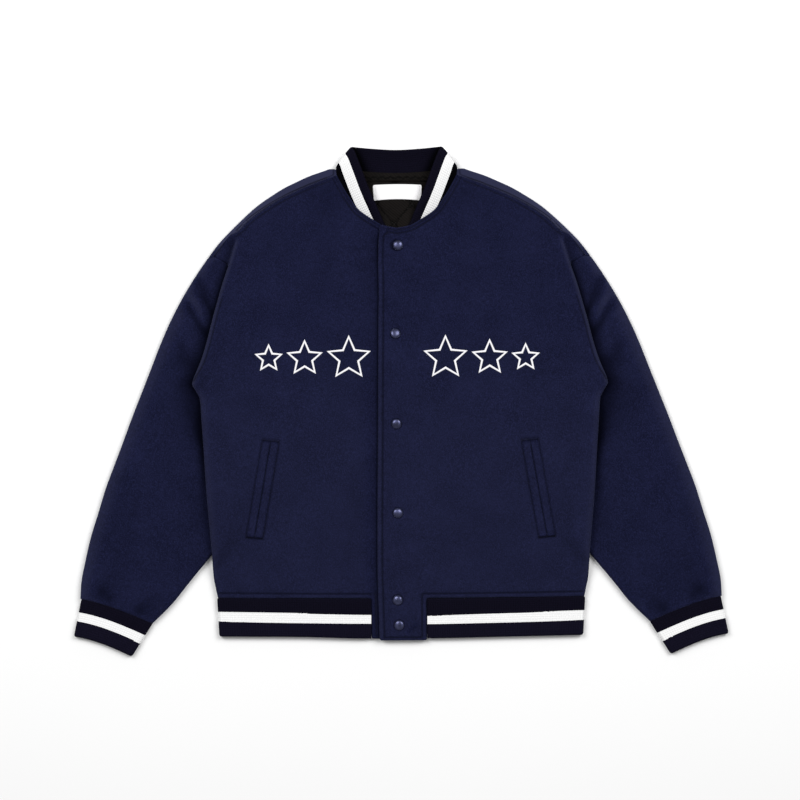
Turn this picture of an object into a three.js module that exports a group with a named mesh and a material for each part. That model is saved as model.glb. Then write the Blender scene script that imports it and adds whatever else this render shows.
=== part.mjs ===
// A varsity jacket laid flat on its back with the front closed: wool body and sleeves, welt pockets,
// snap front, and a striped rib collar, cuffs and hem. Units are millimetres. X runs across the jacket,
// Y from the hem to the collar, and Z up from the surface that it lies on.
import * as THREE from "three";

// Driving dimensions.
const SEAM_GAP = 0.3;
const BODY_WALL = 4; // wool melton with its quilted lining
const SLEEVE_WALL = 3.4;
const RIB_WALL = 3.6; // rib knit, folded double
const INSIDE = 3.4; // room between the back and the fronts
const FRONT_BOTTOM = BODY_WALL + INSIDE;
const BODY_TOP = FRONT_BOTTOM + BODY_WALL;
const EDGE_ROUND = 8; // how far in from a folded edge the cloth is round
const EDGE_COLUMNS = [9, 4.5, 2, 0.6, 0]; // distances in from a side edge at which the cloth has points
const HEM_Y = -284; // hem seam at the sides
const HEM_DIP = 5; // how much lower the hem seam is at the centre
const HEM_HALF = 265.6;
const NECK_Y = 250.4; // lowest point of the front neckline
const UNDERARM_Y = 25;
const SHOULDER_Y = 211.7; // outer end of the shoulder, where the sleeve starts
const FOLD_LEVEL = 8.4; // underside of the front where it folds over the sleeve
const BACK_NECK_Y = 336;
const BACK_NECK_DIP = 9;
const BACK_NECK_HALF = 91;
const NECK_SHIFT = -3.5; // the neck lies a little to one side of the middle
const NECK_SHIFT_AREA = { fromY: 150, fullY: 240, fullOut: 100, endOut: 260 };
const HEM_BEND_REACH = 90; // how far up from the hem seam the rows bend with it
const SEAM_ROW = 3; // distance from a seam to the next row of points
const EDGE_ROW = 1.5; // distance from a free edge to the next row or column of points
const EDGE_SOFT = 0.8; // how much a free or sewn edge is rounded off
const SEAM_DIP = 1.1; // how much a panel dips to the seam at its side
const FLAT_EDGE = 2.5; // width of the level underside beside a side seam

// Placket: the wearer's left front laps over the right one.
const LAP_EDGE = -31;
const UNDER_EDGE = 20;
const TAB_BOTTOM = -346;
const OVER_TAB_EDGE = 37.6;
const UNDER_TAB_EDGE = -43.2;
const LAP_SINK = 3.1; // how far the under front sinks towards the back, and the over front with it
const LAP_RAMP = 20; // width over which a front leaves the lap
const LAP_CLEAR = 1; // how far past the under front's edge the over front stays level
const LAP_STRIP = 7; // width of the stitched strip along the lap's edge
const LAP_LEVELS = { fromY: 205, toY: 240 }; // over this height the sinking ends towards the neck

const RIB_PITCH = 6.6;
const RIB_RISE = 0.8;

// Half width of the body at its side edge, from the hem seam to the underarm.
const SIDE = [
  { y: -284, half: 265.6 },
  { y: -271, half: 268.4 },
  { y: -254, half: 271.5 },
  { y: -220, half: 273 },
  { y: -184, half: 276 },
  { y: -130, half: 280.6 },
  { y: -55, half: 285.3 },
  { y: 3, half: 290 },
  { y: 14, half: 295 },
  { y: 25, half: 301.4 },
];

const SLEEVE_LOW = 6.6; // height of the flattened sleeve beside the armhole
const SLEEVE_HIGH = 10.4; // and further down
const SLEEVE_RISE = { from: 9, to: 40 }; // distances from the armhole over which it gets its full height
const SLEEVE_FULL = { belowY: -70, fromY: -15 }; // it has its full height across its width below this
const SLEEVE_CAP = { fromY: 190, toY: 205, sink: 2 }; // its top rises to just under the body's face
const SLEEVE_ROUND = 5.2; // how far in from its edges a sleeve is round
const SLEEVE_EDGE_HALF = 0.6; // half height of its creased edges, outside
const SLEEVE_EDGE_INSIDE = 0.2; // and inside
const SLEEVE_NARROW = 24; // a row shorter than this has its edge columns closer together
const SLEEVE_TOP = { outerY: 211.4, innerY: 209.2 };
const SLEEVE_END = { outerY: -283.4, innerY: -319.6 };
const SLEEVE_EDGE_COLUMNS = [0, 1, 3, 6];
const SLEEVE_SHARES = [0.16, 0.34, 0.52, 0.7, 0.86]; // columns between the two edges
const SLEEVE_INSET = 0.3; // largest share of a row that its outer edge's wall takes
const SLEEVE_ROWS = [2, -25, -55, -85, -115, -145, -180, -215, -250, -288];

// Rows of points shared by the pieces that meet along the armhole, and along the shoulder seam.
const ARMHOLE_ROWS = [27, 33.5, 45, 75, 112, 149, 182, 197.6, 205, 209.2, 211.4];
const SHOULDER_ROWS = [SHOULDER_Y, 224, 236, NECK_Y, 262, 277.7, 294, 311, 325];
const SIDE_ROWS = [-268, -243, -220, -200, -180, -140, -95, -60, -25, -12, 2, 16];

// The front's fold over the sleeve: a ridge beside the fold, and the lower corner past it at the shoulder.
const FOLD_TOP_Y = 196.5; // above this the front ends at the armhole seam
const FOLD_ROUND = 6;
const FOLD_STARTS = { fromY: 2, toY: 24 };
const RIDGE = { rise: 3.4, inFromFold: 8, spread: 12, startY: 0, fullY: 40, fadeY: 195, endY: 238 };
const CORNER_DROP = { depth: 2, startY: 190, fullY: 198, fadeY: 212, endY: 242, before: 3, past: 5 };

// The side seam opens towards the underarm, where the sleeve comes in.
const SIDE_OPENS = { fromY: -14, toY: 3 };
const SIDE_SEAM_TOP = -12;
const UNDERARM_ROWS_TOP = 30; // up to here the back also keeps clear of the sleeve's inner edge
const KNEE_TOP_Y = 3;
const KNEE_CLEAR = 4; // least distance from the bend over the sleeve to the columns of the edge

// Edge along which the front folds over the top of the sleeve, from the underarm to the shoulder.
const FRONT_FOLD = [
  { y: 25, half: 301.4 },
  { y: 43.5, half: 295 },
  { y: 62, half: 287.5 },
  { y: 88, half: 279.5 },
  { y: 115, half: 272.6 },
  { y: 141, half: 265.4 },
  { y: 171, half: 256.7 },
  { y: 199, half: 247.2 },
  { y: 232, half: 237.3 },
];

// Armhole seam, mostly hidden under the front's fold.
const ARMHOLE = [
  { y: 27, half: 293.1 },
  { y: 43.5, half: 289 },
  { y: 62, half: 281.5 },
  { y: 88, half: 273.5 },
  { y: 115, half: 266.6 },
  { y: 141, half: 259.4 },
  { y: 171, half: 250.7 },
  { y: 188, half: 245.6 },
  { y: 199, half: 247.2 },
  { y: 205, half: 257.4 },
  { y: 211.7, half: 272.7 },
];

// Outline of the whole jacket down the sleeve's outer edge and up over the shoulder to the collar.
const OUTLINE = [
  { y: -284, half: 465 },
  { y: -265, half: 464 },
  { y: -230, half: 457.5 },
  { y: -196, half: 449.5 },
  { y: -161, half: 438.6 },
  { y: -126, half: 427.8 },
  { y: -91, half: 414.7 },
  { y: -57, half: 401.7 },
  { y: -22, half: 388.6 },
  { y: 13, half: 374.8 },
  { y: 48, half: 361 },
  { y: 83, half: 347.3 },
  { y: 117.5, half: 332 },
  { y: 152, half: 313.9 },
  { y: 187, half: 292.2 },
  { y: 213, half: 274 },
  { y: 230.6, half: 260.3 },
  { y: 248, half: 243.6 },
  { y: 265.4, half: 225.5 },
  { y: 283, half: 205.2 },
  { y: 300, half: 179.8 },
  { y: 309, half: 164.6 },
  { y: 317.6, half: 146.5 },
  { y: 326.3, half: 126.9 },
  { y: 335, half: 101.5 },
  { y: 339, half: 92 },
];

// Shoulder seam, which lies in front of the shoulder's folded edge.
const SHOULDER_SEAM = [
  { y: 211.7, half: 270.6 },
  { y: 235.5, half: 253.8 },
  { y: 247.5, half: 231.7 },
  { y: 261, half: 218.4 },
  { y: 278.5, half: 194 },
  { y: 296.4, half: 163.1 },
  { y: 314, half: 123 },
  { y: 327, half: 90.5 },
];

// Front neckline seam, up from its lowest point.
const NECKLINE = [
  { y: 250.4, half: 0 },
  { y: 253.8, half: 18.1 },
  { y: 257.7, half: 25.8 },
  { y: 262.5, half: 33.6 },
  { y: 268.3, half: 43.1 },
  { y: 277.7, half: 55.7 },
  { y: 292, half: 66 },
  { y: 303.6, half: 73.6 },
  { y: 320.5, half: 82.9 },
  { y: 333.5, half: 88.7 },
];

// Inner edge of the sleeve, which runs on under the side of the body.
const SLEEVE_INNER = [
  { y: -320, half: 359 },
  { y: -302.5, half: 341.2 },
  { y: -289.4, half: 328.8 },
  { y: -267, half: 311 },
  { y: -250.7, half: 297.7 },
  { y: -229.9, half: 280.2 },
  { y: -218, half: 270.6 },
  { y: -187, half: 256 },
  { y: -143, half: 253 },
  { y: -93, half: 262 },
  { y: -65, half: 271 },
  { y: -40, half: 280.5 },
  { y: -25, half: 287.5 },
  { y: -10, half: 291.5 },
  { y: 3, half: 291.7 },
  { y: 27, half: 293.4 },
];

// How far the side of the body is lifted by the sleeve under it.
const LIFT = [
  { y: -284, rise: 11 },
  { y: -25, rise: 11 },
  { y: -8, rise: 6 },
  { y: 10, rise: 0 },
];
const LIFT_REACH = 31; // how far in from the sleeve's edge the body is back on the surface

// Largest soft folds of the sleeves: the line of each, its width, and its rise (a trough's is negative).
const SLEEVE_FOLDS = [
  { fromX: 296, fromY: 174, toX: 280, toY: 108, width: 10, rise: -1.4 },
  { fromX: 312, fromY: 150, toX: 292, toY: 96, width: 10, rise: 1.3 },
  { fromX: 326, fromY: 98, toX: 308, toY: 36, width: 15, rise: -1.3 },
  { fromX: 352, fromY: 60, toX: 316, toY: -20, width: 20, rise: 1.2 },
  { fromX: 372, fromY: 12, toX: 330, toY: -60, width: 18, rise: -1.2 },
  { fromX: 306, fromY: -60, toX: 352, toY: -122, width: 20, rise: 1.2 },
  { fromX: 396, fromY: -60, toX: 356, toY: -130, width: 18, rise: -1.1 },
  { fromX: 323, fromY: -200, toX: 383, toY: -280, width: 15, rise: -1.3 },
  { fromX: 424, fromY: -140, toX: 384, toY: -205, width: 18, rise: 1.1 },
];
const FOLD_FADE = 0.25; // share of a fold's length over which it starts and ends
const FOLD_FROM_EDGE = 14; // folds reach their full rise this far in from a sleeve's edges

// The back's shoulder comes over the folded edge to the shoulder seam.
const STRIP_COLUMN = 6; // the first column of the strip that comes over
const INNER_SHARES = [0, 0.25, 0.5, 0.75, 0.9]; // columns under the front, as shares of the seam's half width
const STRIP_SHARES = [0.3, 0.6, 0.85, 1]; // columns of the strip, as shares of its width
const STRIP_EDGE = 0.05; // half the distance between the two columns at the strip's edge
const SHOULDER_ROUND = 6;
const SHOULDER_SINK = { depth: 2, toY: 245 }; // the shoulder's outer end is a little flatter
const BACK_CENTRE_COLUMN = 90;
const BACK_NECK_START = 290; // the rows below the back neck start to dip here

// Collar, from the centre back round the folded shoulder corner to the front end: the seam edge and the
// top edge of the rib's middle surface, on the negative X side.
const COLLAR = [
  { seamX: 0, seamY: 329.2, seamZ: 4.9, topX: 0, topY: 362.5, topZ: 17 },
  { seamX: -45, seamY: 331.6, seamZ: 4.9, topX: -35, topY: 364.3, topZ: 17.5 },
  { seamX: -83, seamY: 336.5, seamZ: 5, topX: -61, topY: 367.4, topZ: 18.5 },
  { seamX: -89.4, seamY: 338, seamZ: 9.2, topX: -66.4, topY: 368, topZ: 22.8 },
  { seamX: -86.6, seamY: 335, seamZ: 13.6, topX: -62.6, topY: 361.4, topZ: 27 },
  { seamX: -84.2, seamY: 328, seamZ: 12.8, topX: -57.4, topY: 347.4, topZ: 27.8 },
  { seamX: -78.6, seamY: 317.2, seamZ: 11.6, topX: -51.6, topY: 331, topZ: 27.4 },
  { seamX: -70.4, seamY: 303, seamZ: 10.6, topX: -46, topY: 315, topZ: 26 },
  { seamX: -61.8, seamY: 290, seamZ: 10.2, topX: -39.8, topY: 299, topZ: 24 },
  { seamX: -50.6, seamY: 277.6, seamZ: 10, topX: -33.2, topY: 283.4, topZ: 21 },
  { seamX: -35.2, seamY: 267.4, seamZ: 10, topX: -26, topY: 269.4, topZ: 16.6 },
  { seamX: -22.6, seamY: 260.4, seamZ: 10, topX: -19.6, topY: 261, topZ: 13.6 },
];
const COLLAR_ROWS = [0, 0.5, 1]; // shares of the collar's height
const COLLAR_BULGE = 1.6;
const TURN_DEGREES = [90, 45, 0, -45, -90]; // points round the folded edge of a band
const CURVE_STEPS = 800; // fineness with which the length of a band is measured
const ALONG = 0.002; // share of a band's length over which its direction is taken

// Cuff: outer and inner corners at its seam and at its opening.
const CUFF_SEAM = { outerX: 463.6, outerY: -284.2, innerX: 359.8, innerY: -320.4 };
const CUFF_OPENING = { outerX: 475, outerY: -339.5, innerX: 390.4, innerY: -368.8 };
const CUFF_HEIGHT = 9;
const RIB_CLEAR = 0.1; // how far a rib band's lowest stitches stay above the surface
const CUFF_ROWS = [0, 1];
const CUFF_SHARES = [0.1, 0.2, 0.5, 0.8, 0.9]; // points across a cuff's flat side

// Hem rib: its lower edge, and how far in from the body's side its edges are folded.
const HEM_RIB = { seamIn: 0.4, lowIn: 3.4, seamDown: 0.6, lowY: -343.4, lowRise: 2, underSink: 1 };
const HEM_FRONT_SHARES = [0.25, 0.5, 0.75, 0.94, 0.98];
const HEM_BACK_SHARES = [0.98, 0.94, 0.5, 0, -0.5, -0.94, -0.98];

// Pocket: two welts side by side on a slanting line.
const POCKET = { topX: 187.3, topY: -56.6, bottomX: 212, bottomY: -197.9, half: 12.8, slit: 0.6, lean: 0.08 };
const WELT = { rise: 1.6, edge: 0.6 };
const WELT_ROWS = [0, 0.01, 0.2, 0.4, 0.6, 0.8, 0.99, 1]; // shares of a welt's length
const WELT_WIDTHS = [0, 0.12, 0.5, 0.88, 1]; // shares of its width

// Snap caps down the placket.
const SNAPS = [
  { x: -2, y: 225.2 },
  { x: -5.2, y: 97.6 },
  { x: -5.5, y: -33.3 },
  { x: -3.9, y: -162.4 },
  { x: -4.9, y: -288.8 },
  { x: -3.1, y: -325.2 },
];
const SNAP_RADIUS = 8;
const SNAP_HEIGHT = 3.2;
const SNAP_FOOT = 0.94; // radius where the cap stands, as a share of its full radius
const SNAP_RIM = 0.7; // height of its widest part
const SNAP_DOME = [0.8, 0.4]; // shares of the radius at which the dome has points
const SNAP_CURVE = 0.72; // how round the dome is
const SNAP_SIDES = 14;

// Quilted lining that shows inside the neck, and the label on it.
const LINING = { half: 84, bottomY: 236, wall: 2, seamDown: 1.2 };
const QUILTING = { crossX: -4, crossY: 256, diamondX: 52, diamondY: 60, puff: 0.54, margin: 5 };
const LABEL = { x: 1, half: 36, bottomY: 290, topY: 313, thick: 1, sag: 2 };
const LABEL_SHARES = [0, 0.08, 0.5, 0.92, 1]; // points across the label

const CLOTH_NAVY = new THREE.MeshStandardMaterial({ color: 0x1a1d36, roughness: 0.95, metalness: 0 });
const RIB_NAVY = new THREE.MeshStandardMaterial({ color: 0x100e1c, roughness: 0.9, metalness: 0 });
const LINING_BLACK = new THREE.MeshStandardMaterial({ color: 0x181515, roughness: 0.6, metalness: 0 });
const LABEL_WHITE = new THREE.MeshStandardMaterial({ color: 0xfbfafb, roughness: 0.5, metalness: 0 });
const SNAP_ENAMEL = new THREE.MeshStandardMaterial({ color: 0x23233f, roughness: 0.25, metalness: 0.8 });

const jacket = new THREE.Group();

function clamp(value) {
  return Math.min(1, Math.max(0, value));
}

function mix(a, b, share) {
  return a + (b - a) * share;
}

// 0 below `from`, 1 above `to`, and a soft step between them.
function step(from, to, value) {
  const share = clamp((value - from) / (to - from));
  return share * share * (3 - 2 * share);
}

// The height of a quarter circle that is 1 wide and 1 high.
function quarter(share) {
  const left = 1 - clamp(share);
  return Math.sqrt(1 - left * left);
}

// A smooth curve through a table's rows that doesn't overshoot them: column `out` where `at` is value.
function read(table, at, out, value) {
  const last = table.length - 1;
  const slope = (i) => (table[i + 1][out] - table[i][out]) / (table[i + 1][at] - table[i][at]);
  const tangent = (i) => {
    if (i === 0) return slope(0);
    if (i === last) return slope(last - 1);
    const before = slope(i - 1);
    const after = slope(i);
    return before * after <= 0 ? 0 : (2 * before * after) / (before + after);
  };
  if (value <= table[0][at]) return table[0][out];
  if (value >= table[last][at]) return table[last][out];
  let i = 0;
  while (table[i + 1][at] < value) i += 1;
  const span = table[i + 1][at] - table[i][at];
  const t = (value - table[i][at]) / span;
  const t2 = t * t;
  const t3 = t2 * t;
  return (
    (2 * t3 - 3 * t2 + 1) * table[i][out] +
    (t3 - 2 * t2 + t) * span * tangent(i) +
    (3 * t2 - 2 * t3) * table[i + 1][out] +
    (t3 - t2) * span * tangent(i + 1)
  );
}

function half(table, y) {
  return read(table, "y", "half", y);
}

// How much longer a step along X is than the same step square to the table's slanting edge.
function slant(table, y) {
  const rise = (half(table, y + 1) - half(table, y - 1)) / 2;
  return Math.sqrt(1 + rise * rise);
}

// Builds a wall from two grids of points, its upper and its lower face. point(i, j) gives both. Cells
// that keep(i, j) refuses are left out, and a rim closes every open side. With wrap, the last column
// meets the first.
function addWall(name, material, rows, columns, point, { keep = () => true, wrap = false } = {}) {
  const positions = [];
  const faces = [];
  for (const side of ["upper", "lower"]) {
    for (let i = 0; i < rows; i += 1) {
      for (let j = 0; j < columns; j += 1) {
        const [x, y, z] = point(i, j)[side];
        positions.push(shifted(x, y), y, z);
      }
    }
  }
  const across = wrap ? columns : columns - 1;
  const upper = (i, j) => i * columns + (j % columns);
  const lower = (i, j) => rows * columns + upper(i, j);
  const kept = (i, j) => {
    if (wrap) j = (j + columns) % columns;
    return i >= 0 && j >= 0 && i < rows - 1 && j < across && keep(i, j);
  };
  const quad = (a, b, c, d) => faces.push(a, b, c, a, c, d);
  for (let i = 0; i < rows - 1; i += 1) {
    for (let j = 0; j < across; j += 1) {
      if (!kept(i, j)) continue;
      quad(upper(i, j), upper(i, j + 1), upper(i + 1, j + 1), upper(i + 1, j));
      quad(lower(i, j), lower(i + 1, j), lower(i + 1, j + 1), lower(i, j + 1));
      if (!kept(i - 1, j)) quad(upper(i, j), lower(i, j), lower(i, j + 1), upper(i, j + 1));
      if (!kept(i + 1, j)) quad(upper(i + 1, j + 1), lower(i + 1, j + 1), lower(i + 1, j), upper(i + 1, j));
      if (!kept(i, j - 1)) quad(upper(i + 1, j), lower(i + 1, j), lower(i, j), upper(i, j));
      if (!kept(i, j + 1)) quad(upper(i, j + 1), lower(i, j + 1), lower(i + 1, j + 1), upper(i + 1, j + 1));
    }
  }
  addMesh(name, material, positions, faces);
}

// Moves a place sideways near the neck.
function shifted(x, y) {
  const { fromY, fullY, fullOut, endOut } = NECK_SHIFT_AREA;
  return x + NECK_SHIFT * step(fromY, fullY, y) * (1 - step(fullOut, endOut, Math.abs(x)));
}

// Makes a named mesh from points and triangles, turned round if its faces point inwards.
function addMesh(name, material, positions, faces) {
  let volume = 0;
  const corner = (k) => new THREE.Vector3().fromArray(positions, 3 * faces[k]);
  for (let k = 0; k < faces.length; k += 3) volume += corner(k).dot(corner(k + 1).cross(corner(k + 2)));
  if (volume < 0) faces.reverse();
  const used = [...new Set(faces)];
  const place = new Map(used.map((old, index) => [old, index]));
  const kept = used.flatMap((old) => positions.slice(3 * old, 3 * old + 3));
  const geometry = new THREE.BufferGeometry();
  geometry.setAttribute("position", new THREE.Float32BufferAttribute(kept, 3));
  geometry.setIndex(faces.map((old) => place.get(old)));
  geometry.computeVertexNormals();
  const mesh = new THREE.Mesh(geometry, material);
  mesh.name = name;
  jacket.add(mesh);
}

// How far the sleeve lifts the body at a distance out from the centre line.
function lift(out, y) {
  const past = out - half(SLEEVE_INNER, y);
  return read(LIFT, "y", "rise", y) * step(-LIFT_REACH, 0, past);
}

// Where the body starts to lie on the sleeve, or the start of its rounded edge where no sleeve is under it.
function knee(out, wide, y) {
  return Math.min(half(SLEEVE_INNER, Math.min(y, KNEE_TOP_Y)), out - (EDGE_COLUMNS[0] + KNEE_CLEAR) * wide);
}

// Columns of a body panel between a place near the centre and its outer edge.
function bodyColumns(near, out, wide, y) {
  const bend = knee(out, wide, y);
  const rise = [mix(near, bend - LIFT_REACH, 0.5), bend - LIFT_REACH, bend - LIFT_REACH / 2, bend];
  return [...rise, ...EDGE_COLUMNS.map((inFromEdge) => out - inFromEdge * wide)];
}

// The hem seam is lower at the centre, so rows near it bend down.
function bentY(out, rowY) {
  const near = 1 - step(HEM_Y, HEM_Y + HEM_BEND_REACH, rowY);
  return rowY - HEM_DIP * near * (1 - clamp(out / HEM_HALF) ** 2);
}

// Outer boundary of a front: side edge, fold over the sleeve, armhole seam and shoulder seam in turn.
function frontOut(y) {
  if (y <= UNDERARM_Y) return half(SIDE, y);
  if (y < FOLD_TOP_Y) return half(FRONT_FOLD, y);
  if (y < SHOULDER_Y) return half(ARMHOLE, y) - SEAM_GAP;
  return half(SHOULDER_SEAM, y) - SEAM_GAP;
}

function frontSlant(y) {
  if (y <= UNDERARM_Y) return slant(SIDE, y);
  if (y < SHOULDER_Y) return slant(FRONT_FOLD, y);
  return slant(SHOULDER_SEAM, y);
}

// Height of the ridge beside the fold, less the drop of the corner past it.
function foldHeight(out, y) {
  const past = out - half(FRONT_FOLD, y);
  const ridgeHere = step(RIDGE.startY, RIDGE.fullY, y) * (1 - step(RIDGE.fadeY, RIDGE.endY, y));
  const offRidge = (past + RIDGE.inFromFold) / RIDGE.spread;
  const { depth, startY, fullY, fadeY, endY, before } = CORNER_DROP;
  const dropHere = step(startY, fullY, y) * (1 - step(fadeY, endY, y));
  const drop = depth * dropHere * step(-before, CORNER_DROP.past, past);
  return RIDGE.rise * ridgeHere * Math.exp(-(offRidge ** 2)) - drop;
}

// Lower and upper height of a front at a distance `out` from the centre line, without the lap.
function frontHeights(out, y) {
  const raised = lift(out, y);
  const inFromEdge = (frontOut(y) - out) / frontSlant(y);
  const bottom = FRONT_BOTTOM + raised + foldHeight(out, y);
  const top = bottom + BODY_WALL;
  if (y > FOLD_TOP_Y) return { bottom, top: top - SEAM_DIP * (1 - step(0, BODY_WALL, inFromEdge)) };
  const opened = step(SIDE_OPENS.fromY, SIDE_OPENS.toY, y);
  const seamLevel = mix((BODY_TOP + SEAM_GAP) / 2 + raised, FOLD_LEVEL, opened);
  const round = mix(EDGE_ROUND, FOLD_ROUND, step(FOLD_STARTS.fromY, FOLD_STARTS.toY, y));
  return {
    bottom: mix(seamLevel, bottom, step(FLAT_EDGE, round, inFromEdge)),
    top: mix(seamLevel + SEAM_DIP, top, quarter(inFromEdge / round)),
  };
}

// Adds the lap to a front's heights: the under front sinks towards the back and the over front rides on it.
function lappedHeights(side, x, y) {
  const { bottom, top } = frontHeights(Math.abs(x), y);
  const sink = LAP_SINK * (1 - step(LAP_LEVELS.fromY, LAP_LEVELS.toY, y));
  const level = UNDER_EDGE + LAP_CLEAR;
  const shift =
    side < 0
      ? -sink * step(LAP_EDGE - LAP_RAMP, LAP_EDGE, x)
      : (BODY_WALL + SEAM_GAP - sink) * (1 - step(level, level + LAP_RAMP, x));
  return { bottom: bottom + shift, top: top + shift };
}

// Columns of a front from the lap's edge to the tab's edge. They are straight, so that the tab can end there.
function placketColumns(side) {
  const overLap = [LAP_EDGE, LAP_EDGE + EDGE_ROW, LAP_EDGE + LAP_STRIP, 0, UNDER_EDGE + LAP_CLEAR];
  if (side > 0) return [...overLap, OVER_TAB_EDGE];
  return [-UNDER_EDGE, EDGE_ROW - UNDER_EDGE, 0, -LAP_EDGE, -UNDER_TAB_EDGE - EDGE_ROW, -UNDER_TAB_EDGE];
}

// Height of the neckline seam at a distance from the centre line.
function necklineY(out) {
  return read(NECKLINE, "half", "y", out);
}

// One front, from its tab at the hem up to the neckline and the shoulder seam.
function addFront(name, side) {
  const placket = placketColumns(side);
  const tabEdge = placket[placket.length - 1];
  const neckColumn = placket.indexOf(0);
  const columns = placket.length + bodyColumns(tabEdge, HEM_HALF, 1, HEM_Y).length;
  const foldRows = ARMHOLE_ROWS.slice(2, -1);
  const tabRowY = [TAB_BOTTOM, TAB_BOTTOM + EDGE_ROW];
  const rowY = [...tabRowY, HEM_Y, HEM_Y + SEAM_ROW, ...SIDE_ROWS, UNDERARM_Y, ...foldRows, ...SHOULDER_ROWS];
  const tabRows = tabRowY.length;
  const neckRow = rowY.indexOf(NECK_Y);
  const placeAt = (y, j) => {
    if (j < placket.length) return placket[j];
    return bodyColumns(tabEdge, frontOut(y), frontSlant(y), y)[j - placket.length];
  };
  const acrossNeck = (y, j) => {
    const neck = half(NECKLINE, y);
    return neck + (placeAt(NECK_Y, j) / frontOut(NECK_Y)) * (frontOut(y) - neck);
  };
  const point = (i, j) => {
    const y = rowY[i];
    const x = i > neckRow ? acrossNeck(y, j) : placeAt(Math.max(Math.min(y, NECK_Y), HEM_Y), j);
    let place = i < tabRows ? y : bentY(Math.abs(x), y);
    if (side > 0 && i === neckRow && j < neckColumn) place = necklineY(-x);
    const isEdge = i === 0 || i === neckRow || j === 0 || (i > neckRow && j === neckColumn);
    const { bottom, top } = lappedHeights(side, side * x, Math.max(y, HEM_Y));
    return { upper: [side * x, place, top - (isEdge ? EDGE_SOFT : 0)], lower: [side * x, place, bottom] };
  };
  const keep = (i, j) => {
    if (i < tabRows && j >= placket.length - 1) return false;
    return !(i >= neckRow && j < neckColumn);
  };
  addWall(name, CLOTH_NAVY, rowY.length, columns, point, { keep });
}

// Outer boundary of the back: side edge, armhole seam and the folded shoulder.
function backOut(y) {
  if (y <= SIDE_SEAM_TOP) return half(SIDE, y);
  const armhole = half(ARMHOLE, y) - SEAM_GAP;
  if (y < UNDERARM_ROWS_TOP) return Math.min(half(SIDE, y), armhole, half(SLEEVE_INNER, y) - SEAM_GAP);
  return y < SHOULDER_Y ? armhole : half(OUTLINE, y);
}

// Columns of the back at the shoulder: up to the shoulder seam, then the strip that comes over to it.
function shoulderColumns(y) {
  const seam = half(SHOULDER_SEAM, Math.max(y, SHOULDER_Y));
  const strip = backOut(y) - seam;
  const under = INNER_SHARES.map((share) => share * (seam - 1));
  const over = STRIP_SHARES.map((share) => seam + share * strip);
  return [...under, seam - STRIP_EDGE, seam + STRIP_EDGE, ...over];
}

// Lower and upper height of the back in its column k, counted from the centre.
function backHeights(x, y, wide, k) {
  const raised = lift(x, y);
  const inFromEdge = (backOut(y) - x) / wide;
  if (y >= SHOULDER_Y) {
    const level = BODY_TOP - SHOULDER_SINK.depth * (1 - step(SHOULDER_Y, SHOULDER_SINK.toY, y));
    const share = quarter(inFromEdge / SHOULDER_ROUND);
    const reach = level / 2 - EDGE_SOFT;
    const top = k >= STRIP_COLUMN ? level / 2 + EDGE_SOFT + reach * share : BODY_WALL;
    return { bottom: reach * (1 - share), top };
  }
  if (y > SIDE_SEAM_TOP) return { bottom: raised, top: raised + BODY_WALL };
  const middle = raised + BODY_TOP / 2;
  return {
    bottom: mix(middle - SEAM_DIP, raised, quarter(inFromEdge / EDGE_ROUND)),
    top: mix(middle - SEAM_GAP, raised + BODY_WALL, step(FLAT_EDGE, EDGE_ROUND, inFromEdge)),
  };
}

// The back, with the strip that comes over the shoulder's edge to the shoulder seam.
function addBack() {
  const rowY = [HEM_Y, HEM_Y + SEAM_ROW, ...SIDE_ROWS, ...ARMHOLE_ROWS, ...SHOULDER_ROWS, BACK_NECK_Y];
  const sides = shoulderColumns(SHOULDER_Y).length;
  const point = (i, j) => {
    const y = rowY[i];
    const k = Math.abs(j - (sides - 1));
    const sign = j < sides - 1 ? -1 : 1;
    const wide = slant(y >= SHOULDER_Y ? OUTLINE : SIDE, y);
    const topRow = ARMHOLE_ROWS[ARMHOLE_ROWS.length - 1];
    const below = [0, BACK_CENTRE_COLUMN, ...bodyColumns(BACK_CENTRE_COLUMN, backOut(y), wide, y)];
    const x = (y >= topRow ? shoulderColumns(y) : below)[k];
    const dip = BACK_NECK_DIP * step(BACK_NECK_START, BACK_NECK_Y, y) * (1 - clamp(x / BACK_NECK_HALF) ** 2);
    const place = bentY(x, y) - dip;
    const { bottom, top } = backHeights(x, y, wide, k);
    return { upper: [sign * x, place, top], lower: [sign * x, place, bottom] };
  };
  addWall("back", CLOTH_NAVY, rowY.length, 2 * sides - 1, point);
}

// Height of the flattened sleeve: low beside the armhole, where the front folds over it, and full further on.
function sleeveHeight(innerY, fromInner) {
  const underBody = BODY_TOP - SLEEVE_CAP.sink;
  const atArmhole = mix(SLEEVE_LOW, underBody, step(SLEEVE_CAP.fromY, SLEEVE_CAP.toY, innerY));
  const beside = mix(atArmhole, SLEEVE_HIGH, step(SLEEVE_RISE.from, SLEEVE_RISE.to, fromInner));
  return mix(SLEEVE_HIGH, beside, step(SLEEVE_FULL.belowY, SLEEVE_FULL.fromY, innerY));
}

// Height that the soft folds add at a place on a sleeve.
function foldsAt(x, y) {
  return SLEEVE_FOLDS.reduce((sum, { fromX, fromY, toX, toY, width, rise }) => {
    const length = Math.hypot(toX - fromX, toY - fromY);
    const along = ((x - fromX) * (toX - fromX) + (y - fromY) * (toY - fromY)) / length ** 2;
    const off = ((x - fromX) * (toY - fromY) - (y - fromY) * (toX - fromX)) / length;
    const ends = step(-FOLD_FADE, FOLD_FADE, along) * (1 - step(1 - FOLD_FADE, 1 + FOLD_FADE, along));
    return sum + rise * ends * Math.exp(-((off / width) ** 2));
  }, 0);
}

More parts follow.
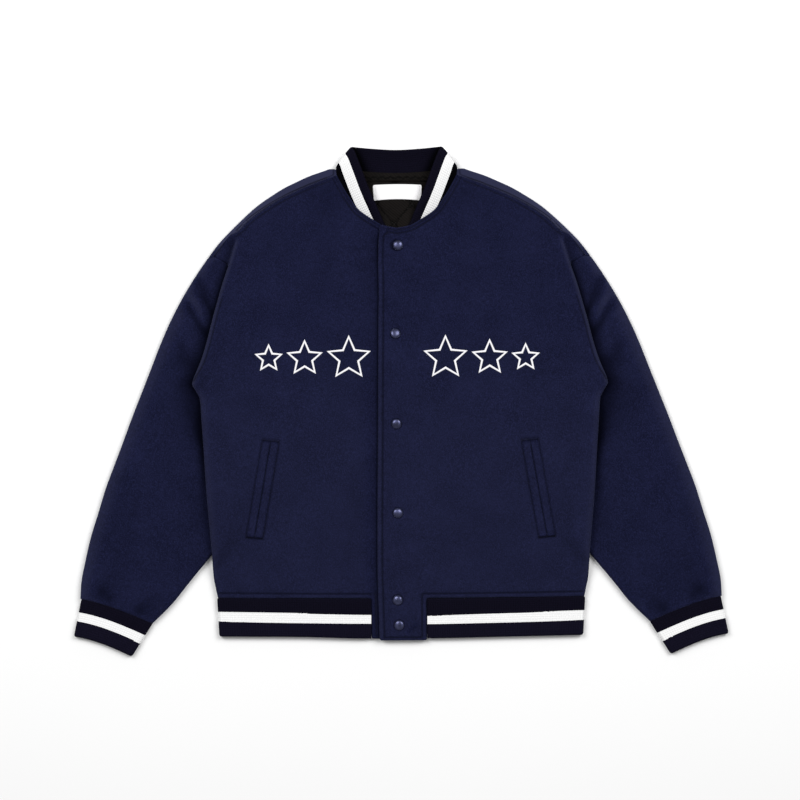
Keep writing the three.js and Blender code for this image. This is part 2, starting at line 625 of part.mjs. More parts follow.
// Distances from the outer edge of the columns of one layer of a sleeve, in a row of this length.
function sleeveColumns(length) {
  const reach = Math.min(1, length / SLEEVE_NARROW);
  const first = SLEEVE_EDGE_COLUMNS.map((distance) => distance * reach);
  const last = first.map((distance) => length - distance).reverse();
  const middle = SLEEVE_SHARES.map((share) => mix(first[first.length - 1], last[0], share));
  return [...first, ...middle, ...last];
}

// One sleeve: rows from the shoulder to the cuff seam, each all round from the inner end. Beside the armhole
// the upper and lower layers end apart, and below the underarm they join in a rounded inner edge.
function addSleeve(name, side) {
  const besideArmhole = ARMHOLE_ROWS.slice(0, -1).reverse();
  const innerRows = [...besideArmhole, ...SLEEVE_ROWS, SLEEVE_END.innerY];
  const closedFrom = besideArmhole.length - 1;
  const perLayer = sleeveColumns(SLEEVE_NARROW).length;
  const ringPoint = (i, j, inset) => {
    const innerY = innerRows[i];
    const down = (SLEEVE_TOP.innerY - innerY) / (SLEEVE_TOP.innerY - SLEEVE_END.innerY);
    const outerY = mix(SLEEVE_TOP.outerY, SLEEVE_END.outerY, down);
    const outerX = half(OUTLINE, outerY);
    const closed = i >= closedFrom;
    const innerX = closed ? half(SLEEVE_INNER, innerY) : half(ARMHOLE, innerY) + SEAM_GAP;
    const length = Math.hypot(outerX - innerX, outerY - innerY);
    const along = sleeveColumns(length)[j < perLayer ? perLayer - 1 - j : j - perLayer];
    const outerInset = Math.min(inset, length * SLEEVE_INSET);
    const place = mix(outerInset, length - (closed ? inset : 0), along / length);
    const share = place / length;
    const x = mix(outerX, innerX, share);
    const y = mix(outerY, innerY, share);
    const height = sleeveHeight(innerY, length - place);
    const up = j < perLayer ? 1 : -1;
    const least = inset > 0 ? SLEEVE_EDGE_INSIDE : SLEEVE_EDGE_HALF;
    const room = Math.max(height / 2 - inset, inset > 0 ? 2 * SLEEVE_EDGE_INSIDE : 0);
    const fromEdge = Math.min(along, closed ? length - along : Infinity);
    const folded = inset === 0 && up > 0 ? foldsAt(x, y) * step(0, FOLD_FROM_EDGE, fromEdge) : 0;
    return [side * x, y, height / 2 + up * mix(least, room, quarter(fromEdge / SLEEVE_ROUND)) + folded];
  };
  const point = (i, j) => ({ upper: ringPoint(i, j, 0), lower: ringPoint(i, j, SLEEVE_WALL) });
  const keep = (i, j) => i >= closedFrom || j < 2 * perLayer - 1;
  addWall(name, CLOTH_NAVY, innerRows.length, 2 * perLayer, point, { keep, wrap: true });
}

// Shares of a line's length at evenly spaced places, as the curve's own parameter.
function evenly(line, count, closed) {
  const curve = new THREE.CatmullRomCurve3(line, closed, "centripetal");
  curve.arcLengthDivisions = CURVE_STEPS;
  return Array.from({ length: count }, (_, k) => curve.getUtoTmapping(k / (closed ? count : count - 1)));
}

// A ribbed band: a strip of double knit along two guide curves, with every second station raised outside.
function addBand(name, seamLine, openLine, shares, bulge, closed) {
  const middle = seamLine.map((p, k) => p.clone().lerp(openLine[k], 0.5));
  const length = new THREE.CatmullRomCurve3(middle, closed, "centripetal").getLength();
  const count = 2 * Math.round(length / RIB_PITCH) + (closed ? 0 : 1);
  const places = evenly(middle, count, closed);
  const seamCurve = new THREE.CatmullRomCurve3(seamLine, closed, "centripetal");
  const openCurve = new THREE.CatmullRomCurve3(openLine, closed, "centripetal");
  const surface = (t, share) => seamCurve.getPoint(t).lerp(openCurve.getPoint(t), share);
  const near = (t) => (closed ? (t + 1) % 1 : clamp(t));
  const point = (i, j) => {
    const t = places[j];
    const share = shares[i];
    const alongBand = surface(near(t + ALONG), share).sub(surface(near(t - ALONG), share));
    const acrossBand = surface(t, 1).sub(surface(t, 0));
    const normal = alongBand.cross(acrossBand).normalize();
    const centre = surface(t, share).addScaledVector(normal, bulge * Math.sin(Math.PI * share));
    const rise = j % 2 === 1 ? RIB_WALL / 2 : RIB_WALL / 2 - RIB_RISE;
    return {
      upper: centre.clone().addScaledVector(normal, rise).toArray(),
      lower: centre.clone().addScaledVector(normal, -RIB_WALL / 2).toArray(),
    };
  };
  addWall(name, RIB_NAVY, shares.length, count, point, { wrap: closed });
}

// Sideways and upward offsets of the points round a band's folded edge, from above to below.
function turnPoints(radius) {
  return TURN_DEGREES.map((degrees) => {
    const angle = THREE.MathUtils.degToRad(degrees);
    return { out: radius * Math.cos(angle), up: radius * Math.sin(angle) };
  });
}

function addCollar() {
  const seam = COLLAR.map((r) => new THREE.Vector3(r.seamX, r.seamY, r.seamZ));
  const top = COLLAR.map((r) => new THREE.Vector3(r.topX, r.topY, r.topZ));
  const mirrored = (line) => line.slice(1).map((p) => new THREE.Vector3(-p.x, p.y, p.z)).reverse();
  const whole = (line) => [...mirrored(line), ...line];
  addBand("collar", whole(seam), whole(top), COLLAR_ROWS, COLLAR_BULGE, false);
}

// The hem rib runs from one tab round the back to the other, folded at both sides.
function addHemRib() {
  const frontZ = FRONT_BOTTOM + RIB_WALL / 2;
  const backZ = RIB_WALL / 2 + RIB_CLEAR;
  const middleZ = (frontZ + backZ) / 2;
  const radius = (frontZ - backZ) / 2;
  const seamY = (x) => bentY(Math.abs(x), HEM_Y) - HEM_RIB.seamDown;
  const lowY = (x) => HEM_RIB.lowY + HEM_RIB.lowRise * (x / HEM_HALF) ** 2;
  const line = (edge, y) => {
    const reach = edge - radius;
    const overStart = OVER_TAB_EDGE + SEAM_GAP;
    const underStart = UNDER_TAB_EDGE - SEAM_GAP;
    const place = (x, z) => new THREE.Vector3(x, y(x), z);
    const turn = (side) => turnPoints(radius).map(({ out, up }) => place(side * (reach + out), middleZ + up));
    const front = (start, end) => HEM_FRONT_SHARES.map((share) => place(mix(start, end, share), frontZ));
    return [
      place(overStart, frontZ),
      ...front(overStart, reach),
      ...turn(1),
      ...HEM_BACK_SHARES.map((share) => place(share * reach, backZ)),
      ...turn(-1).reverse(),
      ...front(underStart, -reach).reverse(),
      place(underStart, frontZ - HEM_RIB.underSink),
    ];
  };
  const seamLine = line(HEM_HALF - HEM_RIB.seamIn, seamY);
  addBand("hem_rib", seamLine, line(HEM_HALF - HEM_RIB.lowIn, lowY), [0, 1], 0, false);
}

function addCuff(name, side) {
  const radius = (CUFF_HEIGHT - RIB_WALL) / 2;
  const middleZ = CUFF_HEIGHT / 2 + RIB_CLEAR;
  const ring = ({ outerX, outerY, innerX, innerY }) => {
    const length = Math.hypot(outerX - innerX, outerY - innerY);
    const end = (radius + RIB_WALL / 2) / length;
    const place = (share, up) =>
      new THREE.Vector3(side * mix(outerX, innerX, share), mix(outerY, innerY, share), middleZ + up);
    const turn = (share, sign) =>
      turnPoints(radius).map(({ out, up }) => place(share + (sign * out) / length, up));
    return [
      ...turn(end, -1).reverse(),
      ...CUFF_SHARES.map((share) => place(share, radius)),
      ...turn(1 - end, 1),
      ...CUFF_SHARES.map((share) => place(1 - share, -radius)),
    ];
  };
  const order = (line) => (side > 0 ? line : line.reverse());
  addBand(name, order(ring(CUFF_SEAM)), order(ring(CUFF_OPENING)), CUFF_ROWS, 0, true);
}

// One welt of a pocket, made from the front's own surface moved out.
function addWelt(name, side, from, to) {
  const point = (i, j) => {
    const across = mix(from, to, WELT_WIDTHS[j]);
    const x = mix(POCKET.topX, POCKET.bottomX, WELT_ROWS[i]) + across;
    const y = mix(POCKET.topY, POCKET.bottomY, WELT_ROWS[i]) + POCKET.lean * across;
    const surface = frontHeights(x, y).top + SEAM_GAP;
    const isEdge = i === 0 || j === 0 || i === WELT_ROWS.length - 1 || j === WELT_WIDTHS.length - 1;
    const rise = isEdge ? WELT.edge : WELT.rise;
    return { upper: [side * x, y, surface + rise], lower: [side * x, y, surface] };
  };
  addWall(name, CLOTH_NAVY, WELT_ROWS.length, WELT_WIDTHS.length, point);
}

function addSnap(name, { x, y }) {
  const rows = [y - SNAP_RADIUS, y, y + SNAP_RADIUS];
  const under = rows.map((rowY) => lappedHeights(1, x, Math.max(rowY, HEM_Y)).top);
  const domeHeight = (share) => SNAP_HEIGHT * Math.sqrt(1 - SNAP_CURVE * share * share);
  const profile = [
    new THREE.Vector2(0, 0),
    new THREE.Vector2(SNAP_RADIUS * SNAP_FOOT, 0),
    new THREE.Vector2(SNAP_RADIUS, SNAP_RIM),
    ...SNAP_DOME.map((share) => new THREE.Vector2(SNAP_RADIUS * share, domeHeight(share))),
    new THREE.Vector2(0, SNAP_HEIGHT),
  ];
  const snap = new THREE.Mesh(new THREE.LatheGeometry(profile, SNAP_SIDES), SNAP_ENAMEL);
  snap.name = name;
  snap.rotation.x = Math.PI / 2;
  snap.position.set(x, y, Math.max(...under) + SEAM_GAP);
  jacket.add(snap);
}

// Puff of the quilting between its two sets of slanting stitch lines.
function quilting(x, y) {
  const a = (x - QUILTING.crossX) / QUILTING.diamondX;
  const b = (y - QUILTING.crossY) / QUILTING.diamondY;
  return QUILTING.puff * Math.sqrt(Math.abs(Math.sin(Math.PI * (a + b)) * Math.sin(Math.PI * (a - b))));
}

// Places on the quilting's grid around a middle, a quarter of a diamond apart, between two limits.
function quiltPlaces(middle, diamond, from, to) {
  const pitch = diamond / 4;
  const first = Math.ceil((from + QUILTING.margin - middle) / pitch);
  const last = Math.floor((to - QUILTING.margin - middle) / pitch);
  return Array.from({ length: last - first + 1 }, (_, k) => middle + (first + k) * pitch);
}

function addLining() {
  const { half: reach, bottomY, wall, seamDown } = LINING;
  const { crossX, crossY, diamondX, diamondY, margin } = QUILTING;
  const neckY = (x) => BACK_NECK_Y - BACK_NECK_DIP * (1 - (x / BACK_NECK_HALF) ** 2) - seamDown;
  const columns = [-reach, ...quiltPlaces(crossX, diamondX, -reach, reach), reach];
  const rows = [bottomY, ...quiltPlaces(crossY, diamondY, bottomY - margin, neckY(0))];
  const base = BODY_WALL + SEAM_GAP;
  const point = (i, j) => {
    const x = columns[j];
    const y = i === rows.length ? neckY(x) : rows[i];
    return { upper: [x, y, base + wall + quilting(x, y)], lower: [x, y, base] };
  };
  addWall("neck_lining", LINING_BLACK, rows.length + 1, columns.length, point);
}

function addLabel() {
  const base = BODY_WALL + LINING.wall + QUILTING.puff + 2 * SEAM_GAP;
  const point = (i, j) => {
    const across = 2 * LABEL_SHARES[j] - 1;
    const x = LABEL.x + across * LABEL.half;
    const y = i === 0 ? LABEL.bottomY + LABEL.sag * (1 - across ** 2) : LABEL.topY;
    return { upper: [x, y, base + LABEL.thick], lower: [x, y, base] };
  };
  addWall("neck_label", LABEL_WHITE, 2, LABEL_SHARES.length, point);
}

addBack();
addFront("front_right", -1);
addFront("front_left", 1);
addSleeve("sleeve_right", -1);
addSleeve("sleeve_left", 1);
addCollar();
addHemRib();
addCuff("cuff_right", -1);
addCuff("cuff_left", 1);
for (const [label, side] of [["right", -1], ["left", 1]]) {
  addWelt(`pocket_${label}_welt_front`, side, -POCKET.half, -POCKET.slit / 2);
  addWelt(`pocket_${label}_welt_side`, side, POCKET.slit / 2, POCKET.half);
}
SNAPS.forEach((place, index) => addSnap(`snap_${index + 1}`, place));
addLining();
addLabel();

// The origin is at the middle of the footprint, on the surface that the jacket lies on.
const extent = new THREE.Box3().setFromObject(jacket);
const middle = extent.getCenter(new THREE.Vector3());
jacket.position.set(-middle.x, -middle.y, -extent.min.z);

export default jacket;
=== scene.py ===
import math

import bpy
import numpy as np
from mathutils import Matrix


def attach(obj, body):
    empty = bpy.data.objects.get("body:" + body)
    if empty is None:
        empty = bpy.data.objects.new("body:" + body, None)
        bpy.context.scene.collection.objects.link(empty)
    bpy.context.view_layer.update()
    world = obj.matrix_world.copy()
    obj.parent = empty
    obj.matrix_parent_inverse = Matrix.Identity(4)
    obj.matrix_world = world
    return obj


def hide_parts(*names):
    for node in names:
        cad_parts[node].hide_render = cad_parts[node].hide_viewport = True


bl_info = {
    "name": "Varsity Jacket",
    "version": (1, 0, 0),
    "blender": (4, 5, 0),
    "location": "3D View > Sidebar > Jacket",
    "description": "Builds a snap-front varsity jacket, laid flat, around its measured frame",
    "category": "Object",
}

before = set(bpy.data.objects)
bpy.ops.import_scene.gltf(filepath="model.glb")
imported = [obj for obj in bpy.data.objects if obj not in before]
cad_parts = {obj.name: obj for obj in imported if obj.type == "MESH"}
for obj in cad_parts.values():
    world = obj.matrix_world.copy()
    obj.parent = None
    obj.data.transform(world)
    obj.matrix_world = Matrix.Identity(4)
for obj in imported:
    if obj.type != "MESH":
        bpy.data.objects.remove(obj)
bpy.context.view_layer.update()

# The sections below are in millimetres, and meshes are made in metres.
MM = 0.001
BODY = "root"

# Layers of the jacket as it lies on its back.
BODY_WALL = 4.0
SLEEVE_WALL = 3.4
RIB_WALL = 3.6
RIB_REST = 0.15  # the rib's lowest points are this much above the floor
INSIDE = 3.4  # room between the back and the fronts
SEAM_GAP = 0.3  # stands for a seam between two pieces
FRONT_BOTTOM = BODY_WALL + INSIDE
BODY_TOP = FRONT_BOTTOM + BODY_WALL
FOLD_LEVEL = 8.4  # where a front's edge rests on the sleeve
EDGE_ROUND = 8.0  # how far in from the side the body rounds down to its seam
EDGE_STEPS = np.array([0, 0.5, 1.2, 2.2, 3.6, 5.6, 8.0])  # the wool's grids are this fine beside an edge

# Places along the jacket, from the hem up.
TAB_BOTTOM = {1: -346.9, -1: -344.6}  # over front, under front
HEM_Y = -284.0
HEM_DIP = 2.4  # how much lower the hem's seam is at the centre
HEM_HALF = 265.6
NECK_TOP_Y = 251.0  # where the over front's edge meets the neckline
UNDERARM_Y = 25.0
FAN_Y = 197.0  # above this row the front's rows fan out to the shoulder seam and the neckline
WRAP_Y = 209.6  # from here up the back comes round to the front
SHOULDER_END = (270.6, 211.7)
NECK_CORNER = (86.5, 327.5)
BACK_NECK_Y = 336.0
BACK_NECK_DIP = 9.0
BACK_NECK_HALF = 91.0
NECK_SHIFT = -3.5  # the neck lies this much to one side

# Placket.
UNDER_EDGE = 20.0  # the under front's own edge, hidden by the over front
OVER_TAB_EDGE = 37.6
UNDER_TAB_EDGE = -43.2
LAP_SINK = 3.1  # how far the under front sinks towards the back
LAP_RAMP = 20.0  # width of the slope down to it
TAB_CREASE = [(10.0, -334.5), (22.0, -324.0)]  # a slanted crease on the over front's tab

# How far each row of topstitching is from the edge or seam beside it.
LAP_STITCH = 7.2
TAB_STITCH = 7.2
TAB_HEM = 4.2
FOLD_STITCH = (1.0, 6.2)  # at the underarm, and where the fold is full
NECK_STITCHES = (3.6, 8.0)
SHOULDER_STITCH = 5.0
STRIP_STITCH = 4.4  # on the back's strip, above the shoulder seam
HEM_STITCH = 6.8
POCKET_STITCH = 1.2
CUFF_STITCH = 4.8
MARK_REACH = 6.0  # the wool is marked no farther than this from a sewn line
FAR = 9.0  # stands for no sewn line near

# Sleeve.
CUFF_BOW = 3.6  # the cuff seam and the cuff's own edges bow towards the elbow
SLEEVE_LOW = 6.6  # height beside the body
SLEEVE_HIGH = 10.4  # height elsewhere
SLEEVE_TOP = {"outer_y": 212.8, "inner_y": 210.4}
SLEEVE_END = {"outer_y": -285.0, "inner_y": -321.0}
LIFT_REACH = 34.0  # how far in from its edge the sleeve lifts the body
ARMHOLE_SEEN = np.linspace(196, SHOULDER_END[1], 12)  # rows in which the armhole's seam shows

# Snap caps down the placket: x and y of each, how it leans along x and y, and the radius of all.
SNAPS = [(-2.0, 225.2), (-6.2, 97.8), (-5.5, -33.3), (-3.9, -162.4), (-5.0, -288.4), (-3.0, -324.8)]
SNAP_LEAN = [(0.0, 0.0), (-0.10, -0.16), (0.02, 0.05), (-0.08, 0.0), (0.10, -0.02), (0.08, 0.04)]
SNAP_RADIUS = 7.35

# Pocket welts: middle of the slit at both ends, half width of the pair, the slit, and the ends' slope.
POCKET = {"top": (187.3, -56.6), "bottom": (212.0, -197.9), "half": 11.6, "slit": 0.5, "lean": 0.1}

# Hem rib on the fronts: x, seam, upper edge of the stripe, its lower edge, and the rib's lower edge.
HEM_BANDS = [
    (-266.0, -283.9, -304.6, -318.2, -340.2),
    (-145.0, -285.6, -307.1, -321.0, -341.4),
    (-44.8, -286.3, -310.2, -322.8, -344.2),
    (36.4, -286.4, -311.4, -323.8, -344.2),
    (150.0, -285.6, -308.2, -321.8, -342.4),
    (266.0, -283.9, -304.6, -318.2, -340.2),
]
HEM_BACK = {"stripe_top": -305.6, "stripe_low": -319.6, "low": -339.6}

# Soft folds and dents of the wool: start x and y, end x and y, width, height (negative is a trough).
# They are given on one half of the jacket, and the other half has them a little moved and changed.
BODY_FOLDS = [
    (268, 120, 196, 60, 16, 1.3),
    (282, 60, 214, 18, 13, -1.2),
    (286, -10, 236, -70, 15, 1.1),
    (270, -60, 228, -150, 14, -0.9),
    (230, 205, 150, 168, 22, -0.8),
    (120, 290, 92, 236, 15, -0.7),
    (40, 240, 86, 180, 20, 0.6),
    (262, -180, 238, -262, 11, 0.8),
    (205, -215, 228, -272, 12, -0.7),
    (150, -262, 190, -278, 9, 0.6),
    (60, -250, 110, -276, 10, -0.5),
    (120, 20, 170, -50, 30, 0.6),
    (70, -60, 130, -130, 34, -0.6),
]
SLEEVE_FOLDS = [
    (294, 178, 273, 128, 6, -2.4),
    (301, 150, 282, 116, 5, 1.6),
    (310, 144, 284, 99, 6, -2.2),
    (304, 92, 297, 64, 10, 0.6),
    (318, 84, 309, 48, 12, -1.4),
    (352, 60, 312, -20, 17, 1.3),
    (372, 12, 330, -60, 14, -1.2),
    (300, -30, 352, -110, 18, 1.1),
    (396, -60, 352, -130, 15, -1.1),
    (310, -120, 372, -190, 13, -1.0),
    (424, -140, 380, -205, 14, 1.0),
    (323, -200, 383, -284, 15, -1.5),
    (440, -200, 408, -262, 10, -1.1),
    (352, -262, 380, -296, 7, 0.9),
    (430, -240, 424, -278, 7, 0.9),
    (392, -252, 398, -292, 6, -0.9),
    (289, -66, 308, -75, 3.4, -0.8),
    (289, -80, 306, -91, 3.4, 0.7),
]


class Curve:
    """A smooth curve through a few places that doesn't overshoot them."""

    def __init__(self, *places):
        # The slopes at the places are such that the curve never turns between two of them.
        self.at, self.value = np.array(sorted(map(tuple, places)), float).T
        slope = np.diff(self.value) / np.diff(self.at)
        before, after = slope[:-1], slope[1:]
        rising = before * after > 0
        middle = np.where(rising, 2 * before * after / np.where(rising, before + after, 1), 0)
        self.slope = np.concatenate([slope[:1], middle, slope[-1:]])

    def __call__(self, at):
        at = np.clip(np.asarray(at, float), self.at[0], self.at[-1])
        i = np.clip(np.searchsorted(self.at, at) - 1, 0, len(self.at) - 2)
        span = self.at[i + 1] - self.at[i]
        t = (at - self.at[i]) / span
        start = (2 * t**3 - 3 * t**2 + 1) * self.value[i] + (t**3 - 2 * t**2 + t) * span * self.slope[i]
        end = (3 * t**2 - 2 * t**3) * self.value[i + 1] + (t**3 - t**2) * span * self.slope[i + 1]
        return start + end

    def lean(self, at):
        """How much longer a step across is than the same step square to the curve."""
        return np.sqrt(1 + ((self(at + 1) - self(at - 1)) / 2) ** 2)


# Half widths of the jacket's lines, each as y, half width.
SIDE = Curve((-284, 265.6), (-271, 268.4), (-254, 271.5), (-220, 273), (-184, 276), (-130, 280.6),
             (-55, 285.3), (3, 290), (14, 295), (25, 301.4))
FRONT_FOLD = Curve((25, 301.4), (34, 299.2), (43.5, 295), (62, 287.5), (88, 279.5), (115, 272.6), (141, 265.4),
                   (171, 256.7), (199, 247.2), (232, 237.3))
ARMHOLE = Curve((27, 293.1), (43.5, 289), (62, 281.5), (88, 273.5), (115, 266.6), (141, 259.4),
                (171, 250.7), (188, 245.6), (197, 248.2), (205, 259), (211.7, 272.7))
OUTLINE = Curve((-284, 465), (-265, 464), (-230, 457.5), (-196, 449.5), (-161, 438.6), (-126, 427.8),
                (-91, 414.7), (-57, 401.7), (-22, 388.6), (13, 374.8), (48, 361), (83, 347.3),
                (117.5, 332), (152, 313.9), (187, 292.2), (213, 274), (230.6, 260.3), (248, 243.6),
                (265.4, 225.5), (283, 205.2), (300, 179.8), (309, 164.6), (317.6, 146.5),
                (326.3, 126.9), (335, 101.5), (339, 92))
SHOULDER_SEAM = Curve(SHOULDER_END[::-1], (235.5, 253.8), (247.5, 231.7), (261, 218.4), (278.5, 194),
                      (296.4, 163.1), (314, 123), NECK_CORNER[::-1])
SLEEVE_INNER = Curve((-321, 360.4), (-302.5, 341.2), (-289.4, 328.8), (-267, 311), (-250.7, 297.7),
                     (-229.9, 280.2), (-218, 270.6), (-187, 256), (-143, 253), (-93, 262), (-65, 270),
                     (-40, 278), (-25, 283), (-10, 285.5), (3, 286), (27, 289))

# The same kind of line read the other way round: half width, y.
SHOULDER_Y_AT = Curve(SHOULDER_END, (253.8, 235.5), (231.7, 247.5), (218.4, 261), (194, 278.5),
                      (163.1, 296.4), (123, 314), NECK_CORNER)
NECKLINE_Y_AT = Curve((0, 250.4), (18.1, 253.8), (25.8, 257.7), (33.6, 262.5), (43.1, 268.3), (55.7, 277.7),
                      (66, 292), (73.6, 303.6), (82.9, 320.5), NECK_CORNER, (91, 336))

LAP_EDGE = Curve((-347, -31.2), (-300, -32.6), (-239, -34), (-30, -32.4), (120, -31), (200, -29.2),
                 (251, -25.4))
LIFT = Curve((-284, 11), (-25, 11), (-8, 6), (10, 0))


def mix(a, b, share):
    """A value between a and b, a share of the way from a."""
    return a + (b - a) * share


def smooth(low, high, value):
    """0 below low, 1 above high, and a soft step between them."""
    share = np.clip((value - low) / (high - low), 0, 1)
    return share * share * (3 - 2 * share)


def quarter(share):
    """The height of a quarter circle that is 1 wide and 1 high."""
    left = 1 - np.clip(share, 0, 1)
    return np.sqrt(np.maximum(0, 1 - left * left))


def bell(distance, width):
    """1 at no distance, and softly down to almost 0 at two widths."""
    return np.exp(-((distance / width) ** 2))


def groove(distance, width, depth):
    """A narrow trough along a sewn line."""
    return -depth * bell(distance, width)


def beside(x, y, line):
    """Distance of every place from a line of points: positive on its left as it runs, negative on its right."""
    line = np.asarray(line, float)
    px, py = np.asarray(x, float)[..., None], np.asarray(y, float)[..., None]
    a, d = line[:-1], np.diff(line, axis=0)
    along = np.clip(((px - a[:, 0]) * d[:, 0] + (py - a[:, 1]) * d[:, 1]) / (d**2).sum(1), 0, 1)
    away = np.hypot(px - a[:, 0] - along * d[:, 0], py - a[:, 1] - along * d[:, 1])
    left = np.where(d[:, 0] * (py - a[:, 1]) > d[:, 1] * (px - a[:, 0]), 1.0, -1.0)
    return np.take_along_axis(away * left, away.argmin(-1)[..., None], -1)[..., 0]


def moved(line, distance):
    """A line beside another, square to it, on its left as it runs."""
    line = np.asarray(line, float)
    run = np.gradient(line, axis=0)
    run /= np.linalg.norm(run, axis=1)[:, None]
    return line + distance * np.stack([-run[:, 1], run[:, 0]], 1)


def evenly(line, pitch):
    """Places about one pitch apart along a line."""
    line = np.asarray(line, float)
    travelled = np.concatenate([[0], np.cumsum(np.linalg.norm(np.diff(line, axis=0), axis=1))])
    count = max(2, int(round(travelled[-1] / pitch)) + 1)
    at = np.linspace(0, travelled[-1], count)
    return np.stack([np.interp(at, travelled, line[:, k]) for k in range(line.shape[1])], 1)


def shifted(x, y):
    """Moves a place sideways near the neck, which lies a little to one side."""
    return x + NECK_SHIFT * smooth(150, 240, y) * (1 - smooth(100, 260, np.abs(x)))


def folds(table, x, y, changed=0.0):
    """Height of the soft folds in a table. `changed` varies them a little for the other side."""
    height = np.zeros(np.broadcast(x, y).shape)
    for k, (x0, y0, x1, y1, width, rise) in enumerate(table):
        wander = changed * math.sin(2.1 * k + 0.7)
        dx, dy = x1 - x0, y1 - y0
        length = math.hypot(dx, dy)
        along = ((x - x0) * dx + (y - y0 - 9 * wander) * dy) / length**2
        off = ((x - x0) * dy - (y - y0 - 9 * wander) * dx) / length
        off = off + 0.12 * length * (along - 0.5) ** 2 * math.sin(1.7 * k)
        spread = width * (1 + 0.35 * np.sin(5 * along + k))
        ends = smooth(-0.25, 0.25, along) * (1 - smooth(0.7, 1.3, along))
        height += rise * (1 + 0.35 * wander) * ends * bell(off, spread)
    return height


def unevenness(x, y):
    """The slight waviness that no cloth is without."""
    return (
        0.30 * np.sin(x / 31 + 1.1 * np.sin(y / 47)) * np.sin(y / 38 + 0.6)
        + 0.16 * np.sin(x / 13.7 + y / 19.3) * np.sin(y / 15.1 - x / 23)
    )


# Heights of the body.

def lift(out, y):
    """How far the sleeve under the side lifts the body."""
    past = out - SLEEVE_INNER(y)
    return LIFT(y) * smooth(-LIFT_REACH, 0, past)


def hem_bend(out, y):
    """The hem seam is lower at the centre."""
    near = 1 - smooth(HEM_Y, HEM_Y + 90, y)
    return HEM_DIP * near * (1 - np.clip(out / HEM_HALF, 0, 1) ** 2)


def front_out(y):
    """Outer boundary of a front up to the fan rows: its side, then its fold over the sleeve."""
    return np.where(y <= UNDERARM_Y, SIDE(y), FRONT_FOLD(np.maximum(y, UNDERARM_Y)))


def front_lean(y):
    """How much longer a step across is there than the same step square to the boundary."""
    return np.where(y <= UNDERARM_Y, SIDE.lean(y), FRONT_FOLD.lean(np.maximum(y, UNDERARM_Y + 1)))


def ridge(out, y):
    """Crest of the fold over the sleeve, and the lower corner beyond it at the shoulder's end."""
    beyond = FRONT_FOLD(y) - out
    here = smooth(0, 40, y) * (1 - smooth(216, 242, y))
    crest = 5.0 * here * bell(beyond - 4, np.where(beyond > 4, 17, 6))
    corner = 4.8 * smooth(186, 196, y) * (1 - smooth(222, 242, y)) * smooth(-1.5, 2.5, -beyond)
    return crest - corner


def gathers(out, y):
    """Small puckers where the wool is eased into the hem rib."""
    near = (1 - smooth(HEM_Y + 4, HEM_Y + 46, y)) * smooth(HEM_Y - 2, HEM_Y + 6, y)
    return near * (0.75 * np.sin(out / 7.9 + 1.3 * np.sin(out / 41)) + 0.35 * np.sin(out / 3.9 + 2))


def lap_shift(side, x, y):
    """The under front sinks towards the back, and the over front rides on it."""
    sink = LAP_SINK * (1 - smooth(205, 240, y))
    if side < 0:
        return -sink * smooth(LAP_EDGE(y) - LAP_RAMP, LAP_EDGE(y) - 2, x)
    return (BODY_WALL + SEAM_GAP - sink) * (1 - smooth(UNDER_EDGE - 4, UNDER_EDGE + LAP_RAMP, x))


def front_top(side, x, y):
    """Height of a front's outer face. x is the real place across the jacket."""
    out = side * x
    level = np.maximum(y, HEM_Y)
    height = BODY_TOP + lift(out, level) + ridge(out, y) + lap_shift(side, x, level)
    wavy = folds(BODY_FOLDS, out, y, 0.0 if side > 0 else 1.0) + unevenness(x, y)
    return height + wavy * smooth(-12, 45, out) + gathers(out, y) * smooth(OVER_TAB_EDGE, OVER_TAB_EDGE + 12, out)


# Sewn lines, in each front's own places: out from the centre, y.

def neckline(count, low):
    """The neckline of a front, from just past the centre to the shoulder."""
    out = np.linspace(low, NECK_CORNER[0], count)
    return np.stack([out, NECKLINE_Y_AT(np.abs(out))], 1)


def shoulder_line(count=50):
    """The shoulder seam, from the neck to the armhole."""
    out = np.linspace(NECK_CORNER[0], SHOULDER_END[0], count)
    return np.stack([out, SHOULDER_Y_AT(out)], 1)


def neck_stitch(inset):
    """A line beside the neckline, from the placket to the shoulder."""
    line = moved(neckline(80, -22.0), -inset)
    return line[(line[:, 0] > -14) & (line[:, 1] < SHOULDER_Y_AT(np.maximum(line[:, 0], NECK_CORNER[0])) - 3)]


def lap_stitch():
    """The placket's topstitch, up from the tab and round a soft corner into the neckline's."""
    turn_y, radius = 234.0, 7.0
    y = np.linspace(TAB_BOTTOM[1] + TAB_HEM, turn_y, 160)
    up = np.stack([LAP_EDGE(y) + LAP_STITCH, y], 1)
    angle = np.radians(np.linspace(170, 100, 6))
    corner = np.stack([up[-1, 0] + radius + radius * np.cos(angle), turn_y + 1.5 + radius * np.sin(angle)], 1)
    return np.vstack([up, corner, neck_stitch(NECK_STITCHES[1])[:1]])


def hem_stitch(start):
    """The topstitch above the hem's seam, from a place beside the tab to the side."""
    out = np.linspace(start, 262, 90)
    return np.stack([out, HEM_Y + HEM_STITCH - hem_bend(out, HEM_Y)], 1)


def tab_stitch(side):
    """From the hem's topstitch down the tab's edge, and along the bottom of the over front's tab."""
    edge = (OVER_TAB_EDGE if side > 0 else -UNDER_TAB_EDGE) - TAB_STITCH
    low, high = TAB_BOTTOM[side] + TAB_HEM, HEM_Y + HEM_STITCH - hem_bend(edge, HEM_Y)
    if side < 0:
        return [(edge + TAB_STITCH, high), (edge, high), (edge, low)]
    return [(LAP_EDGE(low) + LAP_STITCH, low), (edge, low), (edge, high), (edge + TAB_STITCH, high)]


def fold_stitch():
    """The armhole's topstitch, just in from the fold, where it rolls into sight."""
    y = np.linspace(30, 150, 44)
    return np.stack([FRONT_FOLD(y) - mix(*FOLD_STITCH, smooth(20, 60, y)), y], 1)


